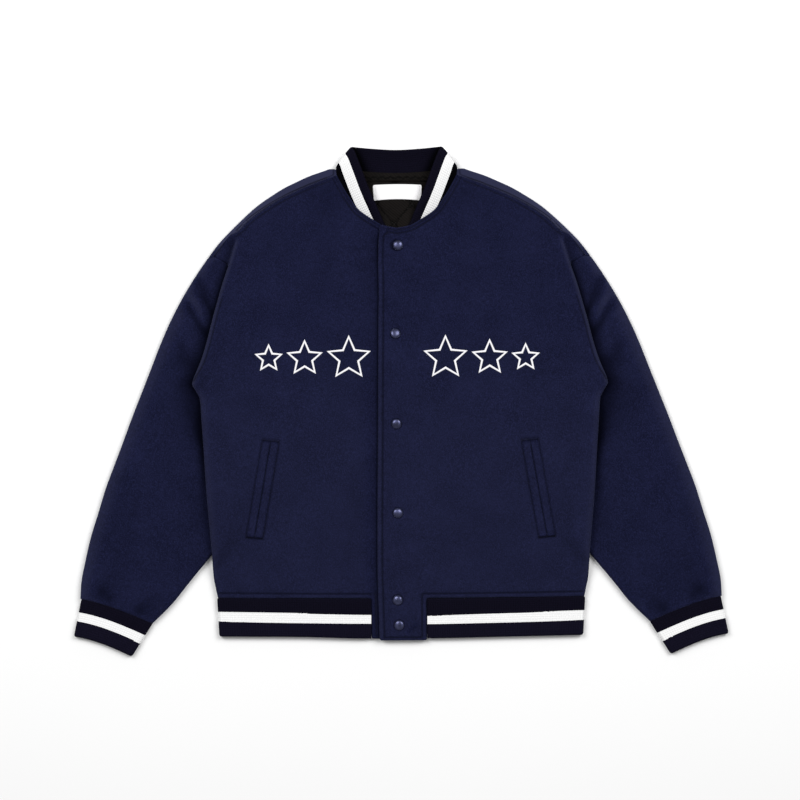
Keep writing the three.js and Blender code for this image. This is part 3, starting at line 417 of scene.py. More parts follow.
def shoulder_stitch():
    """The topstitch below the shoulder seam."""
    line = moved(shoulder_line(), -SHOULDER_STITCH)
    return line[(line[:, 0] > 94) & (line[:, 0] < 236)]


def pocket_frame(margin):
    """Corners of the pocket's welts, moved out by a margin, and the first corner again."""
    top, bottom = np.array(POCKET["top"]), np.array(POCKET["bottom"])
    down = (bottom - top) / np.linalg.norm(bottom - top)
    across = np.array([1, POCKET["lean"]]) * (POCKET["half"] + margin)
    top, bottom = top - down * margin, bottom + down * margin
    return np.array([top - across, top + across, bottom + across, bottom - across, top - across])


def front_lines(side):
    """A front's topstitched lines, in its own places. No two of them share a stretch."""
    near, far = (neck_stitch(inset) for inset in NECK_STITCHES)
    placket = np.vstack([lap_stitch(), far[1:]]) if side > 0 else far
    hem = np.vstack([tab_stitch(side), hem_stitch(tab_stitch(side)[-1][0] + 1)])
    return [near, placket, hem, shoulder_stitch(), fold_stitch(), pocket_frame(POCKET_STITCH)]


def front_sewn(side, out, y):
    """Troughs of the sewn lines on a front, and the dents round the snaps."""
    depths = (0.6, 0.9, 1.0, 0.6, 0.5, 1.0)
    sunk = sum(groove(beside(out, y, line), 2.0, depth) for line, depth in zip(front_lines(side), depths))
    if side > 0:
        sunk = sunk + groove(snap_distance(out, y), 11, 0.9)
        sunk = sunk + groove(beside(out, y, TAB_CREASE), 2.6, 0.9)
    return sunk


def snap_distance(x, y):
    """Distance of every place from the nearest snap's middle."""
    return np.min([np.hypot(x - snap_x, y - snap_y) for snap_x, snap_y in SNAPS], axis=0)


def front_marks(side, out, y):
    """How near each place is to a sewn line or a snap, for the painted shade that the finish draws in the sewn
    troughs and the painted shadow round the snaps.
    """
    away = np.stack([beside(out, y, line) for line in front_lines(side)], -1)
    near = np.clip(1 - np.abs(away).min(-1) / MARK_REACH, 0, 1)
    snap = 0 * out
    if side > 0:
        snap = np.clip(1 - (snap_distance(out, y) - SNAP_RADIUS) / MARK_REACH, 0, 1)
    return {"sewn_a": away[..., :3], "sewn_b": away[..., 3:], "sewn": near, "snap": snap}


def front_shade(side, out, y):
    """Painted shade (positive) and painted highlight (negative) on a front, where the photographed cloth has them."""
    beyond = FRONT_FOLD(y) - out
    from_side = SIDE(np.minimum(y, 20)) - out
    # Painted highlight along the crest of the fold over the sleeve, and the front painted a little darker at the top
    # and lighter towards the hem.
    crest = smooth(8, 32, y) * (1 - smooth(226, 242, y))
    nap_and_painted_shade = 0.03 - 0.1 * smooth(250, -120, y) - 0.44 * crest * bell(beyond - 1.6, 3.0)
    # Painted shade in the armhole's seam at its top and on the cloth just beyond the fold, with painted light farther
    # out.
    corner = smooth(190, 200, y) * smooth(1, -2, beyond)
    armhole = np.stack([ARMHOLE(ARMHOLE_SEEN), ARMHOLE_SEEN], 1)
    nap_and_painted_shade += 0.75 * corner * bell(beside(out, y, armhole), 1.5)
    nap_and_painted_shade += corner * (1 - smooth(228, 246, y)) * (0.7 * np.exp(beyond / 9) - 0.3 * smooth(-9, -22, beyond))
    # Painted highlight along the side below the armhole, and painted shade on the shoulder beside the neck.
    nap_and_painted_shade -= 0.14 * (1 - smooth(12, 24, y)) * smooth(-280, -240, y) * bell(from_side - 3, 5)
    nap_and_painted_shade += 0.2 * smooth(150, 250, y) * bell(out - 95, 34) * bell(y - 300, 26)
    # On the under front, a painted shadow beside the over front's edge; on the over front, a painted highlight along
    # its lap edge and painted shade in the tab's crease.
    if side < 0:
        from_lap = out + LAP_EDGE(y)
        deep = 0.6 * np.exp(-from_lap / 2.6) + 0.4 * np.exp(-from_lap / 8)
        nap_and_painted_shade += 0.95 * smooth(-2, 0, from_lap) * deep * (1 - smooth(236, 250, y))
    else:
        nap_and_painted_shade -= 0.12 * bell(out - LAP_EDGE(y) - 2.6, 2.2) * (1 - smooth(228, 240, y))
        nap_and_painted_shade += 0.25 * bell(beside(out, y, TAB_CREASE), 1.8)
    return nap_and_painted_shade


# Meshes.

def wall_faces(keep, columns):
    """Quads of a wall: both faces, and a rim along every open side."""
    rows, across = keep.shape
    i, j = np.nonzero(keep)
    after = (j + 1) % columns
    a, b, c, d = i * columns + j, i * columns + after, (i + 1) * columns + after, (i + 1) * columns + j
    under = (rows + 1) * columns
    up, down = np.zeros_like(keep), np.zeros_like(keep)
    up[1:], down[:-1] = keep[:-1], keep[1:]
    left, right = np.roll(keep, 1, 1), np.roll(keep, -1, 1)
    if across < columns:
        left[:, 0], right[:, -1] = False, False
    quads = [np.stack([a, b, c, d], 1), np.stack([a, d, c, b], 1) + under]
    for there, start, end in ((up, a, b), (down, c, d), (left, d, a), (right, b, c)):
        open_side = ~there[i, j]
        s, e = start[open_side], end[open_side]
        quads.append(np.stack([s, s + under, e + under, e], 1))
    return np.vstack(quads)


def linked(name, mesh, sharp):
    """A smooth-shaded object of a mesh, with sharp edges where its faces turn by more than an angle."""
    mesh.polygons.foreach_set("use_smooth", [True] * len(mesh.polygons))
    mesh.set_sharp_from_angle(angle=math.radians(sharp))
    obj = bpy.data.objects.new(name, mesh)
    bpy.context.scene.collection.objects.link(obj)
    return obj


def mesh_object(name, points, quads, values=None, sharp=48):
    """An object from points in millimetres and quads, with the values that its points carry."""
    used, quads = np.unique(quads, return_inverse=True)
    quads = quads.reshape(-1, 4)
    points = np.asarray(points, float)[used]
    a, b, c, d = (points[quads[:, k]] for k in range(4))
    volume = np.einsum("ij,ij->i", a, np.cross(b, c) + np.cross(c, d)).sum()
    if volume < 0:
        quads = quads[:, ::-1]
    mesh = bpy.data.meshes.new(name)
    mesh.from_pydata((points * MM).tolist(), [], quads.tolist())
    for key, value in (values or {}).items():
        value = np.asarray(value, np.float32)[used]
        kind = "FLOAT" if value.ndim == 1 else "FLOAT_VECTOR"
        layer = mesh.attributes.new(key, kind, "POINT")
        layer.data.foreach_set("value" if value.ndim == 1 else "vector", value.ravel())
    mesh.validate()
    return linked(name, mesh, sharp)


def outer_only(values):
    """Values for a wall's outer face, with 0 on its inner face."""
    return {key: (value, 0 * value) for key, value in values.items()}


def wall_object(name, upper, lower, keep=None, wrap=False, values=None, neck=True):
    """A wall between two grids of points, upper[row, column] and lower[row, column].

    A value is given for both faces, or as a pair for the outer and the inner one."""
    rows, columns = upper.shape[:2]
    if keep is None:
        keep = np.ones((rows - 1, columns if wrap else columns - 1), bool)
    quads = wall_faces(keep, columns)
    points = np.vstack([upper.reshape(-1, 3), lower.reshape(-1, 3)]).copy()
    if neck:
        points[:, 0] = shifted(points[:, 0], points[:, 1])
    both = {}
    for key, value in (values or {}).items():
        outer, inner = value if isinstance(value, tuple) else (value, value)
        both[key] = np.concatenate([v.reshape(rows * columns, *v.shape[2:]) for v in (outer, inner)])
    return mesh_object(name, points, quads, both)


def dress(obj, material, node=None):
    """Gives a piece its finish, puts it on the body, and hides the imported part that it stands for."""
    obj.data.materials.append(material)
    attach(obj, BODY)
    if node:
        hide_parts(node)
    return obj


# Materials.

class Finish:
    """A material and short ways to add its nodes."""

    def __init__(self, name):
        self.material = bpy.data.materials.new(name)
        self.material.use_nodes = True
        self.nodes = self.material.node_tree.nodes
        self.links = self.material.node_tree.links
        self.shader = self.nodes["Principled BSDF"]

    def add(self, kind, inputs=None, **settings):
        """A node of a kind. Each input is linked if it is another node's output, and otherwise set."""
        node = self.nodes.new(kind)
        for key, value in settings.items():
            setattr(node, key, value)
        for key, value in (inputs or {}).items():
            if isinstance(value, bpy.types.NodeSocket):
                self.links.new(value, node.inputs[key])
            else:
                node.inputs[key].default_value = value
        return node

    def place(self):
        """Where each point is, in metres."""
        return self.add("ShaderNodeTexCoord").outputs["Object"]

    def carried(self, name, output="Fac"):
        """A value that the mesh's points carry."""
        return self.add("ShaderNodeAttribute", attribute_name=name).outputs[output]

    def noise(self, place, size, detail=3.0, rough=0.5, stretch=None):
        """Noise whose grains are about `size` metres."""
        if stretch:
            place = self.add("ShaderNodeMapping", {"Vector": place, "Scale": stretch}).outputs["Vector"]
        inputs = {"Vector": place, "Scale": 1 / size, "Detail": detail, "Roughness": rough}
        return self.add("ShaderNodeTexNoise", inputs).outputs["Fac"]

    def range(self, value, low, high, to_low=0.0, to_high=1.0):
        """A value moved from one range to another, and kept inside it."""
        inputs = {"Value": value, "From Min": low, "From Max": high, "To Min": to_low, "To Max": to_high}
        return self.add("ShaderNodeMapRange", inputs).outputs["Result"]

    def math(self, operation, a, b=0.0):
        """One sum on two values."""
        return self.add("ShaderNodeMath", {0: a, 1: b}, operation=operation).outputs["Value"]

    def blend(self, share, a, b, kind="MIX"):
        """Two colours blended, b over a by a share."""
        node = self.add("ShaderNodeMix", data_type="RGBA", blend_type=kind)
        for key, value in ((0, share), (6, a), (7, b)):
            if isinstance(value, bpy.types.NodeSocket):
                self.links.new(value, node.inputs[key])
            else:
                node.inputs[key].default_value = value
        return node.outputs[2]

    def bump(self, height, distance, strength=1.0, normal=None):
        """Relief that is too fine for the mesh, over another relief if one is given."""
        inputs = {"Height": height, "Distance": distance, "Strength": strength}
        if normal is not None:
            inputs["Normal"] = normal
        return self.add("ShaderNodeBump", inputs).outputs["Normal"]

    def sewn_marks(self):
        """1 along the sewn lines and close round the snaps, from the distances that the panels carry: where the wool
        gets painted shade in its sewn troughs and a painted shadow round each snap.
        """
        marks = self.range(self.carried("snap"), 0.7, 0.97)
        here = self.range(self.carried("sewn"), 0.32, 0.52)
        for name, depths in (("sewn_a", (0.8, 1.0, 1.0)), ("sewn_b", (0.7, 0.7, 0.55))):
            split = self.add("ShaderNodeSeparateXYZ", {"Vector": self.carried(name, "Vector")})
            for axis, depth in zip("XYZ", depths):
                line = self.range(self.math("ABSOLUTE", split.outputs[axis]), 0.2, 2.3, depth, 0.0)
                marks = self.math("MAXIMUM", marks, self.math("MULTIPLY", line, here))
        return marks

    def set(self, **values):
        """Links or sets the shader's own inputs."""
        names = {"color": "Base Color", "roughness": "Roughness", "sheen": "Sheen Weight", "normal": "Normal",
                 "sheen_rough": "Sheen Roughness", "sheen_tint": "Sheen Tint", "coat": "Coat Weight",
                 "coat_rough": "Coat Roughness", "metallic": "Metallic", "specular": "Specular IOR Level"}
        for key, value in values.items():
            socket = self.shader.inputs[names[key]]
            if isinstance(value, bpy.types.NodeSocket):
                self.links.new(value, socket)
            else:
                socket.default_value = value


def shade(colour, factor):
    """A colour made darker or lighter."""
    return (*(min(1.0, c * factor) for c in colour[:3]), 1.0)


def wool_finish():
    """Felted wool melton: mottled navy, a short nap and a soft sheen where it curves away."""
    found = bpy.data.materials.get("wool_melton")
    if found:
        return found
    colour = bpy.context.scene.jacket_colours.wool
    f = Finish("wool_melton")
    place = f.place()
    fibre = f.noise(place, 0.0016, 4, 0.65)
    tuft = f.noise(place, 0.0052, 3, 0.55)
    mottle = f.noise(place, 0.045, 4, 0.6, (1, 1, 3))
    nap_and_painted_shade = f.noise(place, 0.0028, 3, 0.6, (2.2, 0.7, 1))
    base = f.blend(f.range(mottle, 0.3, 0.7), shade(colour, 0.74), shade(colour, 1.26))
    base = f.blend(f.range(tuft, 0.28, 0.7, 0.6, 0.0), base, shade(colour, 0.5))
    base = f.blend(f.range(fibre, 0.48, 0.74, 0.0, 0.85), base, shade(colour, 2.5))
    base = f.blend(f.range(nap_and_painted_shade, 0.52, 0.72, 0.0, 0.6), base, shade(colour, 2.0))
    # Painted shade in the sewn lines' troughs and a painted shadow round the snaps; the same marks also sink them by
    # bump.
    marks = f.sewn_marks()
    # Painted shade (positive) and painted highlight (negative) that the points carry: lit is the painted highlight's
    # colour, deep the painted shade's.
    painted_shading = f.carried("shade")
    lit = tuple(1.9 * c + 0.017 for c in colour[:3]) + (1.0,)
    deep = (0.09 * colour[0], 0.11 * colour[1], 0.17 * colour[2], 1.0)
    base = f.blend(f.range(painted_shading, 0.0, -1.0), base, lit)
    dark = f.math("MAXIMUM", f.range(painted_shading, 0.0, 1.0), f.math("MULTIPLY", marks, 0.62))
    base = f.blend(dark, base, deep)
    sunk = f.bump(marks, 0.0009, 0.6)
    sunk.node.invert = True
    coarse = f.bump(f.range(tuft, 0.2, 0.8), 0.0007, 0.5, sunk)
    fine = f.bump(f.math("ADD", fibre, nap_and_painted_shade), 0.0005, 0.85, coarse)
    f.set(color=base, roughness=f.range(mottle, 0.3, 0.7, 0.97, 0.88), sheen=0.22, sheen_rough=0.38,
          sheen_tint=(0.42, 0.46, 0.8, 1), specular=0.04, normal=fine)
    return f.material


def rib_finish():
    """Rib knit, very dark navy with one white stripe. The stripe is where the knit's band is between 1 and 2."""
    found = bpy.data.materials.get("rib_knit")
    if found:
        return found
    colours = bpy.context.scene.jacket_colours
    f = Finish("rib_knit")
    band = f.carried("band")
    knit = f.carried("knit", "Vector")
    place = f.place()
    fuzz = f.noise(place, 0.0012, 3, 0.6)
    loops = f.add("ShaderNodeTexWave", {"Vector": knit, "Scale": 1 / 0.0102, "Distortion": 1.2, "Detail": 2.0,
                                        "Detail Scale": 3.0}, bands_direction="Y", wave_profile="SIN").outputs["Fac"]
    jag = f.range(loops, 0, 1, -0.03, 0.03)
    inside = f.math("COMPARE", f.math("ADD", band, jag), 1.5)
    inside.node.inputs[2].default_value = 0.5
    dark = f.blend(f.range(fuzz, 0.35, 0.7), shade(colours.rib, 0.65), shade(colours.rib, 1.4))
    dark = f.blend(f.range(loops, 0.0, 0.45, 0.25, 0.0), dark, shade(colours.rib, 0.3))
    # Painted light and shade: the dark knit is painted darker where its band is below 1 and lighter where it is past
    # 2.
    dark = f.blend(1.0, dark, f.range(band, 1.0, 2.0, 0.85, 1.25), "MULTIPLY")
    shadow = f.carried("shade")
    dark = f.blend(1.0, dark, f.range(shadow, 0.0, 1.0, 1.0, 0.1), "MULTIPLY")
    light = f.blend(f.range(loops, 0.0, 0.4, 0.22, 0.0), colours.stripe, shade(colours.stripe, 0.62))
    light = f.blend(f.range(fuzz, 0.3, 0.6, 0.12, 0.0), light, shade(colours.stripe, 0.75))
    relief = f.bump(loops, 0.0004, 0.4)
    f.set(color=f.blend(inside, dark, light), roughness=f.range(fuzz, 0.3, 0.7, 0.85, 0.97), sheen=0.03,
          sheen_rough=0.4, sheen_tint=(0.6, 0.55, 0.9, 1), specular=0.03, normal=f.bump(fuzz, 0.0003, 0.5, relief))
    return f.material


def lining_finish():
    """Black quilted satin: a fine twill that shines a little, darker in the sewn lines."""
    f = Finish("quilted_satin")
    colour = bpy.context.scene.jacket_colours.lining
    place = f.place()
    turned = f.add("ShaderNodeMapping", {"Vector": place, "Rotation": (0, 0, math.radians(-52))}).outputs["Vector"]
    twill = f.add("ShaderNodeTexWave", {"Vector": turned, "Scale": 1 / 0.0105, "Distortion": 1.6, "Detail": 2.0},
                  bands_direction="X").outputs["Fac"]
    cloud = f.noise(place, 0.016)
    base = f.blend(f.range(cloud, 0.3, 0.7), shade(colour, 0.7), shade(colour, 1.3))
    base = f.blend(f.range(twill, 0.0, 0.6, 0.5, 0.0), base, shade(colour, 0.25))
    quilted = f.carried("quilted")
    base = f.blend(f.range(quilted, 0.55, 0.95, 0.0, 0.9), base, shade(colour, 0.12))
    f.set(color=base, roughness=f.range(cloud, 0.3, 0.7, 0.55, 0.7), specular=0.04,
          normal=f.bump(twill, 0.0003, 0.6, f.bump(cloud, 0.0006, 0.4)))
    return f.material


def label_finish():
    """White woven satin with a fine warp."""
    f = Finish("woven_satin")
    colour = bpy.context.scene.jacket_colours.label
    place = f.place()
    warp = f.add("ShaderNodeTexWave", {"Vector": place, "Scale": 1 / 0.0024, "Distortion": 0.2},
                 bands_direction="X").outputs["Fac"]
    weft = f.add("ShaderNodeTexWave", {"Vector": place, "Scale": 1 / 0.0042, "Distortion": 0.2},
                 bands_direction="Y").outputs["Fac"]
    thread = f.math("MULTIPLY", warp, weft)
    base = f.blend(f.range(thread, 0.0, 0.5, 0.16, 0.0), colour, shade(colour, 0.82))
    f.set(color=base, roughness=f.range(thread, 0, 1, 0.5, 0.38), sheen=0.1, specular=0.4,
          normal=f.bump(thread, 0.00012, 0.5))
    return f.material


def thread_finish(name, colour, gloss):
    """Twisted sewing thread or satin-stitch embroidery."""
    found = bpy.data.materials.get(name)
    if found:
        return found
    f = Finish(name)
    place = f.place()
    strand = f.noise(place, 0.0007, 2, 0.5)
    base = f.blend(f.range(strand, 0.3, 0.7), shade(colour, 0.8), shade(colour, 1.1))
    f.set(color=base, roughness=f.range(strand, 0.3, 0.7, 0.75 - gloss, 0.9 - gloss), sheen=0.1, specular=1.5 * gloss,
          normal=f.bump(strand, 0.0002, 0.5))
    return f.material


def enamel_finish():
    """Glossy dark navy enamel on a snap's metal cap, worn bright in a few specks."""
    f = Finish("snap_enamel")
    colour = bpy.context.scene.jacket_colours.snap
    place = f.place()
    cloud = f.noise(place, 0.006, 2)
    speck = f.noise(place, 0.0009, 2)
    base = f.blend(f.range(cloud, 0.3, 0.7), shade(colour, 0.7), shade(colour, 1.4))
    base = f.blend(f.range(speck, 0.66, 0.72, 0.0, 0.3), base, shade(colour, 3.0))
    f.set(color=base, roughness=f.range(cloud, 0.3, 0.7, 0.3, 0.42), metallic=0.85, specular=0.5, coat=0.25,
          coat_rough=0.16, normal=f.bump(cloud, 0.0004, 0.3))
    return f.material


def floor_finish():
    """Matt pale paper, a little cloudy."""
    f = Finish("pale_floor")
    colour = bpy.context.scene.jacket_colours.floor
    place = f.place()
    cloud = f.noise(place, 0.6)
    base = f.blend(f.range(cloud, 0.3, 0.7), shade(colour, 0.99), colour)
    f.set(color=base, roughness=0.9, specular=0.1)
    return f.material


# Pieces of wool.

def side_columns(inner, out, lean, shares, tab):
    """Places across a row, finer at both edges. One of them is at the tab's edge."""
    before, after = shares
    first = inner + EDGE_STEPS
    last = out - EDGE_STEPS[::-1] * lean
    return np.concatenate([first, mix(first[-1], tab, before), mix(tab, last[0], after), last])


def front_grid(side):
    """Own places (out, y) of a front's grid, and the cells that are cloth."""
    inner = LAP_EDGE if side > 0 else (lambda y: -UNDER_EDGE + 0 * y)
    tab = OVER_TAB_EDGE if side > 0 else -UNDER_TAB_EDGE
    tab_low = TAB_BOTTOM[side]
    before = np.linspace(0, 1, 32)[1:]
    after = np.linspace(0, 1, 76)[1:-1]
    tab_column = len(EDGE_STEPS) + len(before) - 1
    near_edge = EDGE_STEPS[:-1]
    tab_rows = np.concatenate([tab_low + near_edge, np.linspace(tab_low + 8.5, HEM_Y - 2.5, 17)])
    body_rows = np.concatenate([HEM_Y + near_edge, np.linspace(HEM_Y + 8, FAN_Y, 158)])
    columns = lambda y: side_columns(inner(y), front_out(y), front_lean(y), (before, after), tab)
    rows = []
    for y in tab_rows:
        out = side_columns(inner(y), front_out(HEM_Y), front_lean(HEM_Y), (before, after), tab)
        seam = HEM_Y - hem_bend(out, HEM_Y)
        bottom = tab_low + 3 * (1 - quarter((out - out[0]) / 3)) + 2 * (1 - quarter((tab - out) / 2))
        down = (HEM_Y - y) / (HEM_Y - tab_low)
        rows.append(np.stack([out, mix(seam, bottom, down)], 1))
    for y in body_rows:
        out = columns(y)
        rows.append(np.stack([out, y - hem_bend(out, y)], 1))
    # The rows above fan out from the last one to the neckline and the shoulder seam.
    start = columns(FAN_Y)
    corner = int(np.argmin(np.abs(start - NECK_CORNER[0] * 0.93)))
    ends = [inner(NECK_TOP_Y), NECK_CORNER[0], SHOULDER_END[0]]
    top_out = np.interp(start, [start[0], start[corner], start[-1]], ends)
    top_y = np.where(np.arange(len(start)) <= corner, NECKLINE_Y_AT(np.abs(top_out)), SHOULDER_Y_AT(top_out))
    top_y = top_y - 4.5 * (1 - quarter((top_out - top_out[0]) / 4.5))
    for share in np.linspace(0, 1, 46)[1:-2]:
        rows.append(np.stack([mix(start, top_out, share), mix(FAN_Y, top_y - 6.5, share)], 1))
    for down in near_edge[::-1]:
        share = 1 - 0.02 * down / near_edge[-1]
        rows.append(np.stack([mix(start, top_out, share), top_y - down], 1))
    places = np.array(rows)
    keep = np.ones((len(rows) - 1, len(start) - 1), bool)
    keep[: len(tab_rows), tab_column:] = False
    return places, keep


def grid_steps(places, keep):
    """Which places of a grid belong to cloth, and the lengths of its steps across and along."""
    used = np.zeros(places.shape[:2], bool)
    for i in (slice(None, -1), slice(1, None)):
        for j in (slice(None, -1), slice(1, None)):
            used[i, j] |= keep
    across = np.linalg.norm(np.diff(places, axis=1), axis=2)
    along = np.linalg.norm(np.diff(places, axis=0), axis=2)
    return used, across, along


def run_length(used, steps, axis, backwards):
    """Distance from the first used place of every line of the grid, counted along an axis."""
    if axis == 0:
        return run_length(used.T, steps.T, 1, backwards).T
    if backwards:
        return run_length(used[:, ::-1], steps[:, ::-1], 1, False)[:, ::-1]
    total = np.concatenate([np.zeros((len(steps), 1)), np.cumsum(steps, axis=1)], 1)
    start = np.where(used, total, np.inf).min(1)
    return total - start[:, None]


class JACKET_PG_sizes(bpy.types.PropertyGroup):
    """Sizes that a maker would change"""

    wool: bpy.props.FloatProperty(name="Wool thickness", description="Thickness of the body's wool with its lining",
                                  default=BODY_WALL * MM, min=0.002, max=0.006, unit="LENGTH",
                                  subtype="DISTANCE")
    sleeve: bpy.props.FloatProperty(name="Sleeve thickness", description="Thickness of the sleeves' wool and lining",
                                    default=SLEEVE_WALL * MM, min=0.002, max=0.005, unit="LENGTH",
                                    subtype="DISTANCE")
    rib_pitch: bpy.props.FloatProperty(name="Rib pitch", description="Distance from one knitted rib to the next",
                                       default=0.0034, min=0.002, max=0.008, unit="LENGTH", subtype="DISTANCE")
    rib_relief: bpy.props.FloatProperty(name="Rib relief", description="Height of a rib above the valleys beside it",
                                        default=0.0008, min=0.0, max=0.002, unit="LENGTH", subtype="DISTANCE")
    stitch: bpy.props.FloatProperty(name="Stitch length", description="Length of one topstitch, with its hole",
                                    default=0.0032, min=0.002, max=0.006, unit="LENGTH", subtype="DISTANCE")
    thread: bpy.props.FloatProperty(name="Thread thickness", description="Diameter of the sewing thread",
                                    default=0.0007, min=0.0003, max=0.002, unit="LENGTH", subtype="DISTANCE")
    snap: bpy.props.FloatProperty(name="Snap cap", description="Diameter of a snap's cap",
                                  default=2 * SNAP_RADIUS * MM, min=0.008, max=0.02, unit="LENGTH",
                                  subtype="DISTANCE")
    outline: bpy.props.FloatProperty(name="Star outline", description="Width of the chest stars' embroidered line",
                                     default=0.0031, min=0.001, max=0.006, unit="LENGTH", subtype="DISTANCE")


def colour_property(name, description, default):
    """A colour that a user can change, given as red, green and blue."""
    return bpy.props.FloatVectorProperty(name=name, description=description, default=(*default, 1.0), size=4,
                                         min=0.0, max=1.0, subtype="COLOR")


class JACKET_PG_colours(bpy.types.PropertyGroup):
    """Colours of the jacket's cloth, knit and metal"""

    wool: colour_property("Wool", "Navy of the wool melton", (0.0066, 0.0078, 0.0262))
    rib: colour_property("Rib", "Dark navy of the rib knit", (0.0046, 0.0040, 0.0105))
    stripe: colour_property("Stripe", "White of the rib's stripe", (0.86, 0.86, 0.86))
    lining: colour_property("Lining", "Black of the quilted satin", (0.0062, 0.0050, 0.0046))
    label: colour_property("Label", "White of the neck label", (0.83, 0.82, 0.83))
    embroidery: colour_property("Embroidery", "White of the chest stars", (0.86, 0.85, 0.87))
    thread: colour_property("Thread", "Navy of the sewing thread", (0.0030, 0.0036, 0.0130))
    snap: colour_property("Snap", "Navy enamel of the snap caps", (0.048, 0.053, 0.115))
    floor: colour_property("Floor", "Pale floor under the jacket", (0.90, 0.90, 0.90))


class JacketPiece:
    """What the operators share."""

    bl_options = {"REGISTER", "UNDO"}


def front_wall(side, thick):
    """Outer and inner face of a front, and the cells that are cloth."""
    places, keep = front_grid(side)
    out, y = places[..., 0], places[..., 1]
    x = side * out
    used, across, along = grid_steps(places, keep)
    inner = run_length(used, across, 1, False)
    outer = run_length(used, across, 1, True)
    low = run_length(used, along, 0, False)
    high = run_length(used, along, 0, True)
    top = front_top(side, x, y) + front_sewn(side, out, y)
    level = np.maximum(y, HEM_Y)
    raised = lift(out, level)
    bottom = np.minimum(FRONT_BOTTOM + raised + ridge(out, y) + lap_shift(side, x, level), top - thick)
    # A folded edge rounds off over half the wall, and a seam dips to the piece that it is sewn to.
    free = np.minimum(inner, np.where(y < HEM_Y - 1, low, np.inf))
    free_round = 1 - quarter(free / 3.2)
    seam_round = 1 - quarter(np.minimum(np.where(y >= HEM_Y - 6, low, np.inf), high) / 3.4)
    top = top - 0.5 * thick * free_round - 0.42 * thick * np.clip(seam_round, 0, 1)
    bottom = bottom + 0.38 * thick * free_round
    # The side rounds down to the seam with the back, and the fold rolls over the sleeve.
    seam_level = mix(BODY_TOP / 2 + SEAM_GAP / 2 + raised, FOLD_LEVEL, smooth(-14, 3, y))
    reach = mix(EDGE_ROUND, 6.5, smooth(2, 24, y))
    below_corner = 1 - smooth(195, 199, y)
    rolled = quarter(outer / reach)
    top = mix(top, mix(seam_level + 1.2, top, rolled), below_corner)
    bottom = mix(bottom, mix(seam_level, bottom, smooth(2.5, reach, outer)), below_corner)
    bottom = np.minimum(bottom, top - 0.8)
    # The lap's top corner is rounded.
    if side > 0:
        corner = 1 - quarter((out - LAP_EDGE(y)) / 7)
        y = y - 5 * corner * smooth(-28, 0, y - NECKLINE_Y_AT(np.abs(out)))
    upper = np.stack([x, y, top], -1)
    lower = np.stack([x, y, bottom], -1)
    return upper, lower, keep


class JACKET_OT_fronts(JacketPiece, bpy.types.Operator):
    """Both wool fronts, with the placket's lap, the tabs and the folds over the sleeves"""

    bl_idname = "jacket.fronts"
    bl_label = "Fronts"

    def execute(self, context):
        thick = context.scene.jacket_sizes.wool / MM
        for side, name, lies_on in ((-1, "front_right", "back"), (1, "front_left", "front_right")):
            upper, lower, keep = front_wall(side, thick)
            out, y = side * upper[..., 0], upper[..., 1]
            values = {"shade": front_shade(side, out, y), **front_marks(side, out, y)}
            panel = wall_object(f"{name}_panel", upper, lower, keep, values=outer_only(values))
            dress(panel, wool_finish(), name)
        return {"FINISHED"}


def side_row(y, thick, centre, spare):
    """A row of the back below the shoulders: outer x and z, inner x and z, painted shade, and distance from stitches.

    Its last places are spare, because only the rows on the shoulders need them."""
    out = float(SIDE(y))
    if y > 30:
        out = float(ARMHOLE(y)) - SEAM_GAP
    elif y > -12:
        out = min(out, float(np.minimum(ARMHOLE(y), SLEEVE_INNER(min(y, 27)))) - SEAM_GAP)
    lean = SIDE.lean(y) if y <= UNDERARM_Y else 1.0
    x = np.concatenate([centre * (out - 8.5 * lean), out - EDGE_STEPS[::-1] * lean])
    x = np.append(x, np.full(spare, x[-1]))
    raised = lift(x, y)
    away = (out - x) / lean
    closed = 1 - smooth(-20, -6, y)
    middle = raised + BODY_TOP / 2
    outer = mix(raised, mix(middle - 1.2, raised, quarter(away / EDGE_ROUND)), closed)
    seam = mix(middle - SEAM_GAP / 2, raised + thick, smooth(2.5, EDGE_ROUND, away))
    return x, outer, x, mix(raised + thick, seam, closed), 0 * x, FAR + 0 * x


def shoulder_row(y, thick, centre, arc, strip):
    """A row of the back that comes over the top to the shoulder seam, given like a side row."""
    radius = BODY_TOP / 2
    inside = radius - thick
    turn = OUTLINE(y) - radius
    x = np.concatenate([centre * (turn - 8.5), turn - EDGE_STEPS[::-1]])
    angle = math.pi * arc
    ax, az = turn + radius * np.sin(angle), radius * (1 - np.cos(angle))
    bx, bz = turn + inside * np.sin(angle), radius - inside * np.cos(angle)
    seam = np.minimum(SHOULDER_SEAM(y) + SEAM_GAP, turn - 0.6)
    sx = mix(turn, seam, strip)
    past_stitch = sx - seam - STRIP_STITCH
    sz = BODY_TOP - 0.42 * thick * (1 - quarter((sx - seam) / 3.4))
    sz = sz + groove(past_stitch, 1.8, 0.5) * smooth(3, 7, turn - seam)
    over = np.concatenate([0 * x, smooth(0.3, 0.9, arc), 1 + 0 * sx])
    # Painted highlight on the strip that comes over the shoulder, stronger towards the shoulder's end, in the upper
    # rows.
    nap_and_painted_shade = -over * (0.62 + 0.5 * smooth(150, 250, turn)) * smooth(213, 238, y)
    if turn - seam < MARK_REACH:
        past_stitch = past_stitch + MARK_REACH
    away = np.concatenate([np.full(len(x) + len(ax), FAR), past_stitch])
    outer = np.concatenate([0 * x, az, sz])
    inner = np.concatenate([thick + 0 * x, bz, np.minimum(BODY_TOP - thick, sz - 0.8)])
    return np.concatenate([x, ax, sx]), outer, np.concatenate([x, bx, sx]), inner, nap_and_painted_shade, away


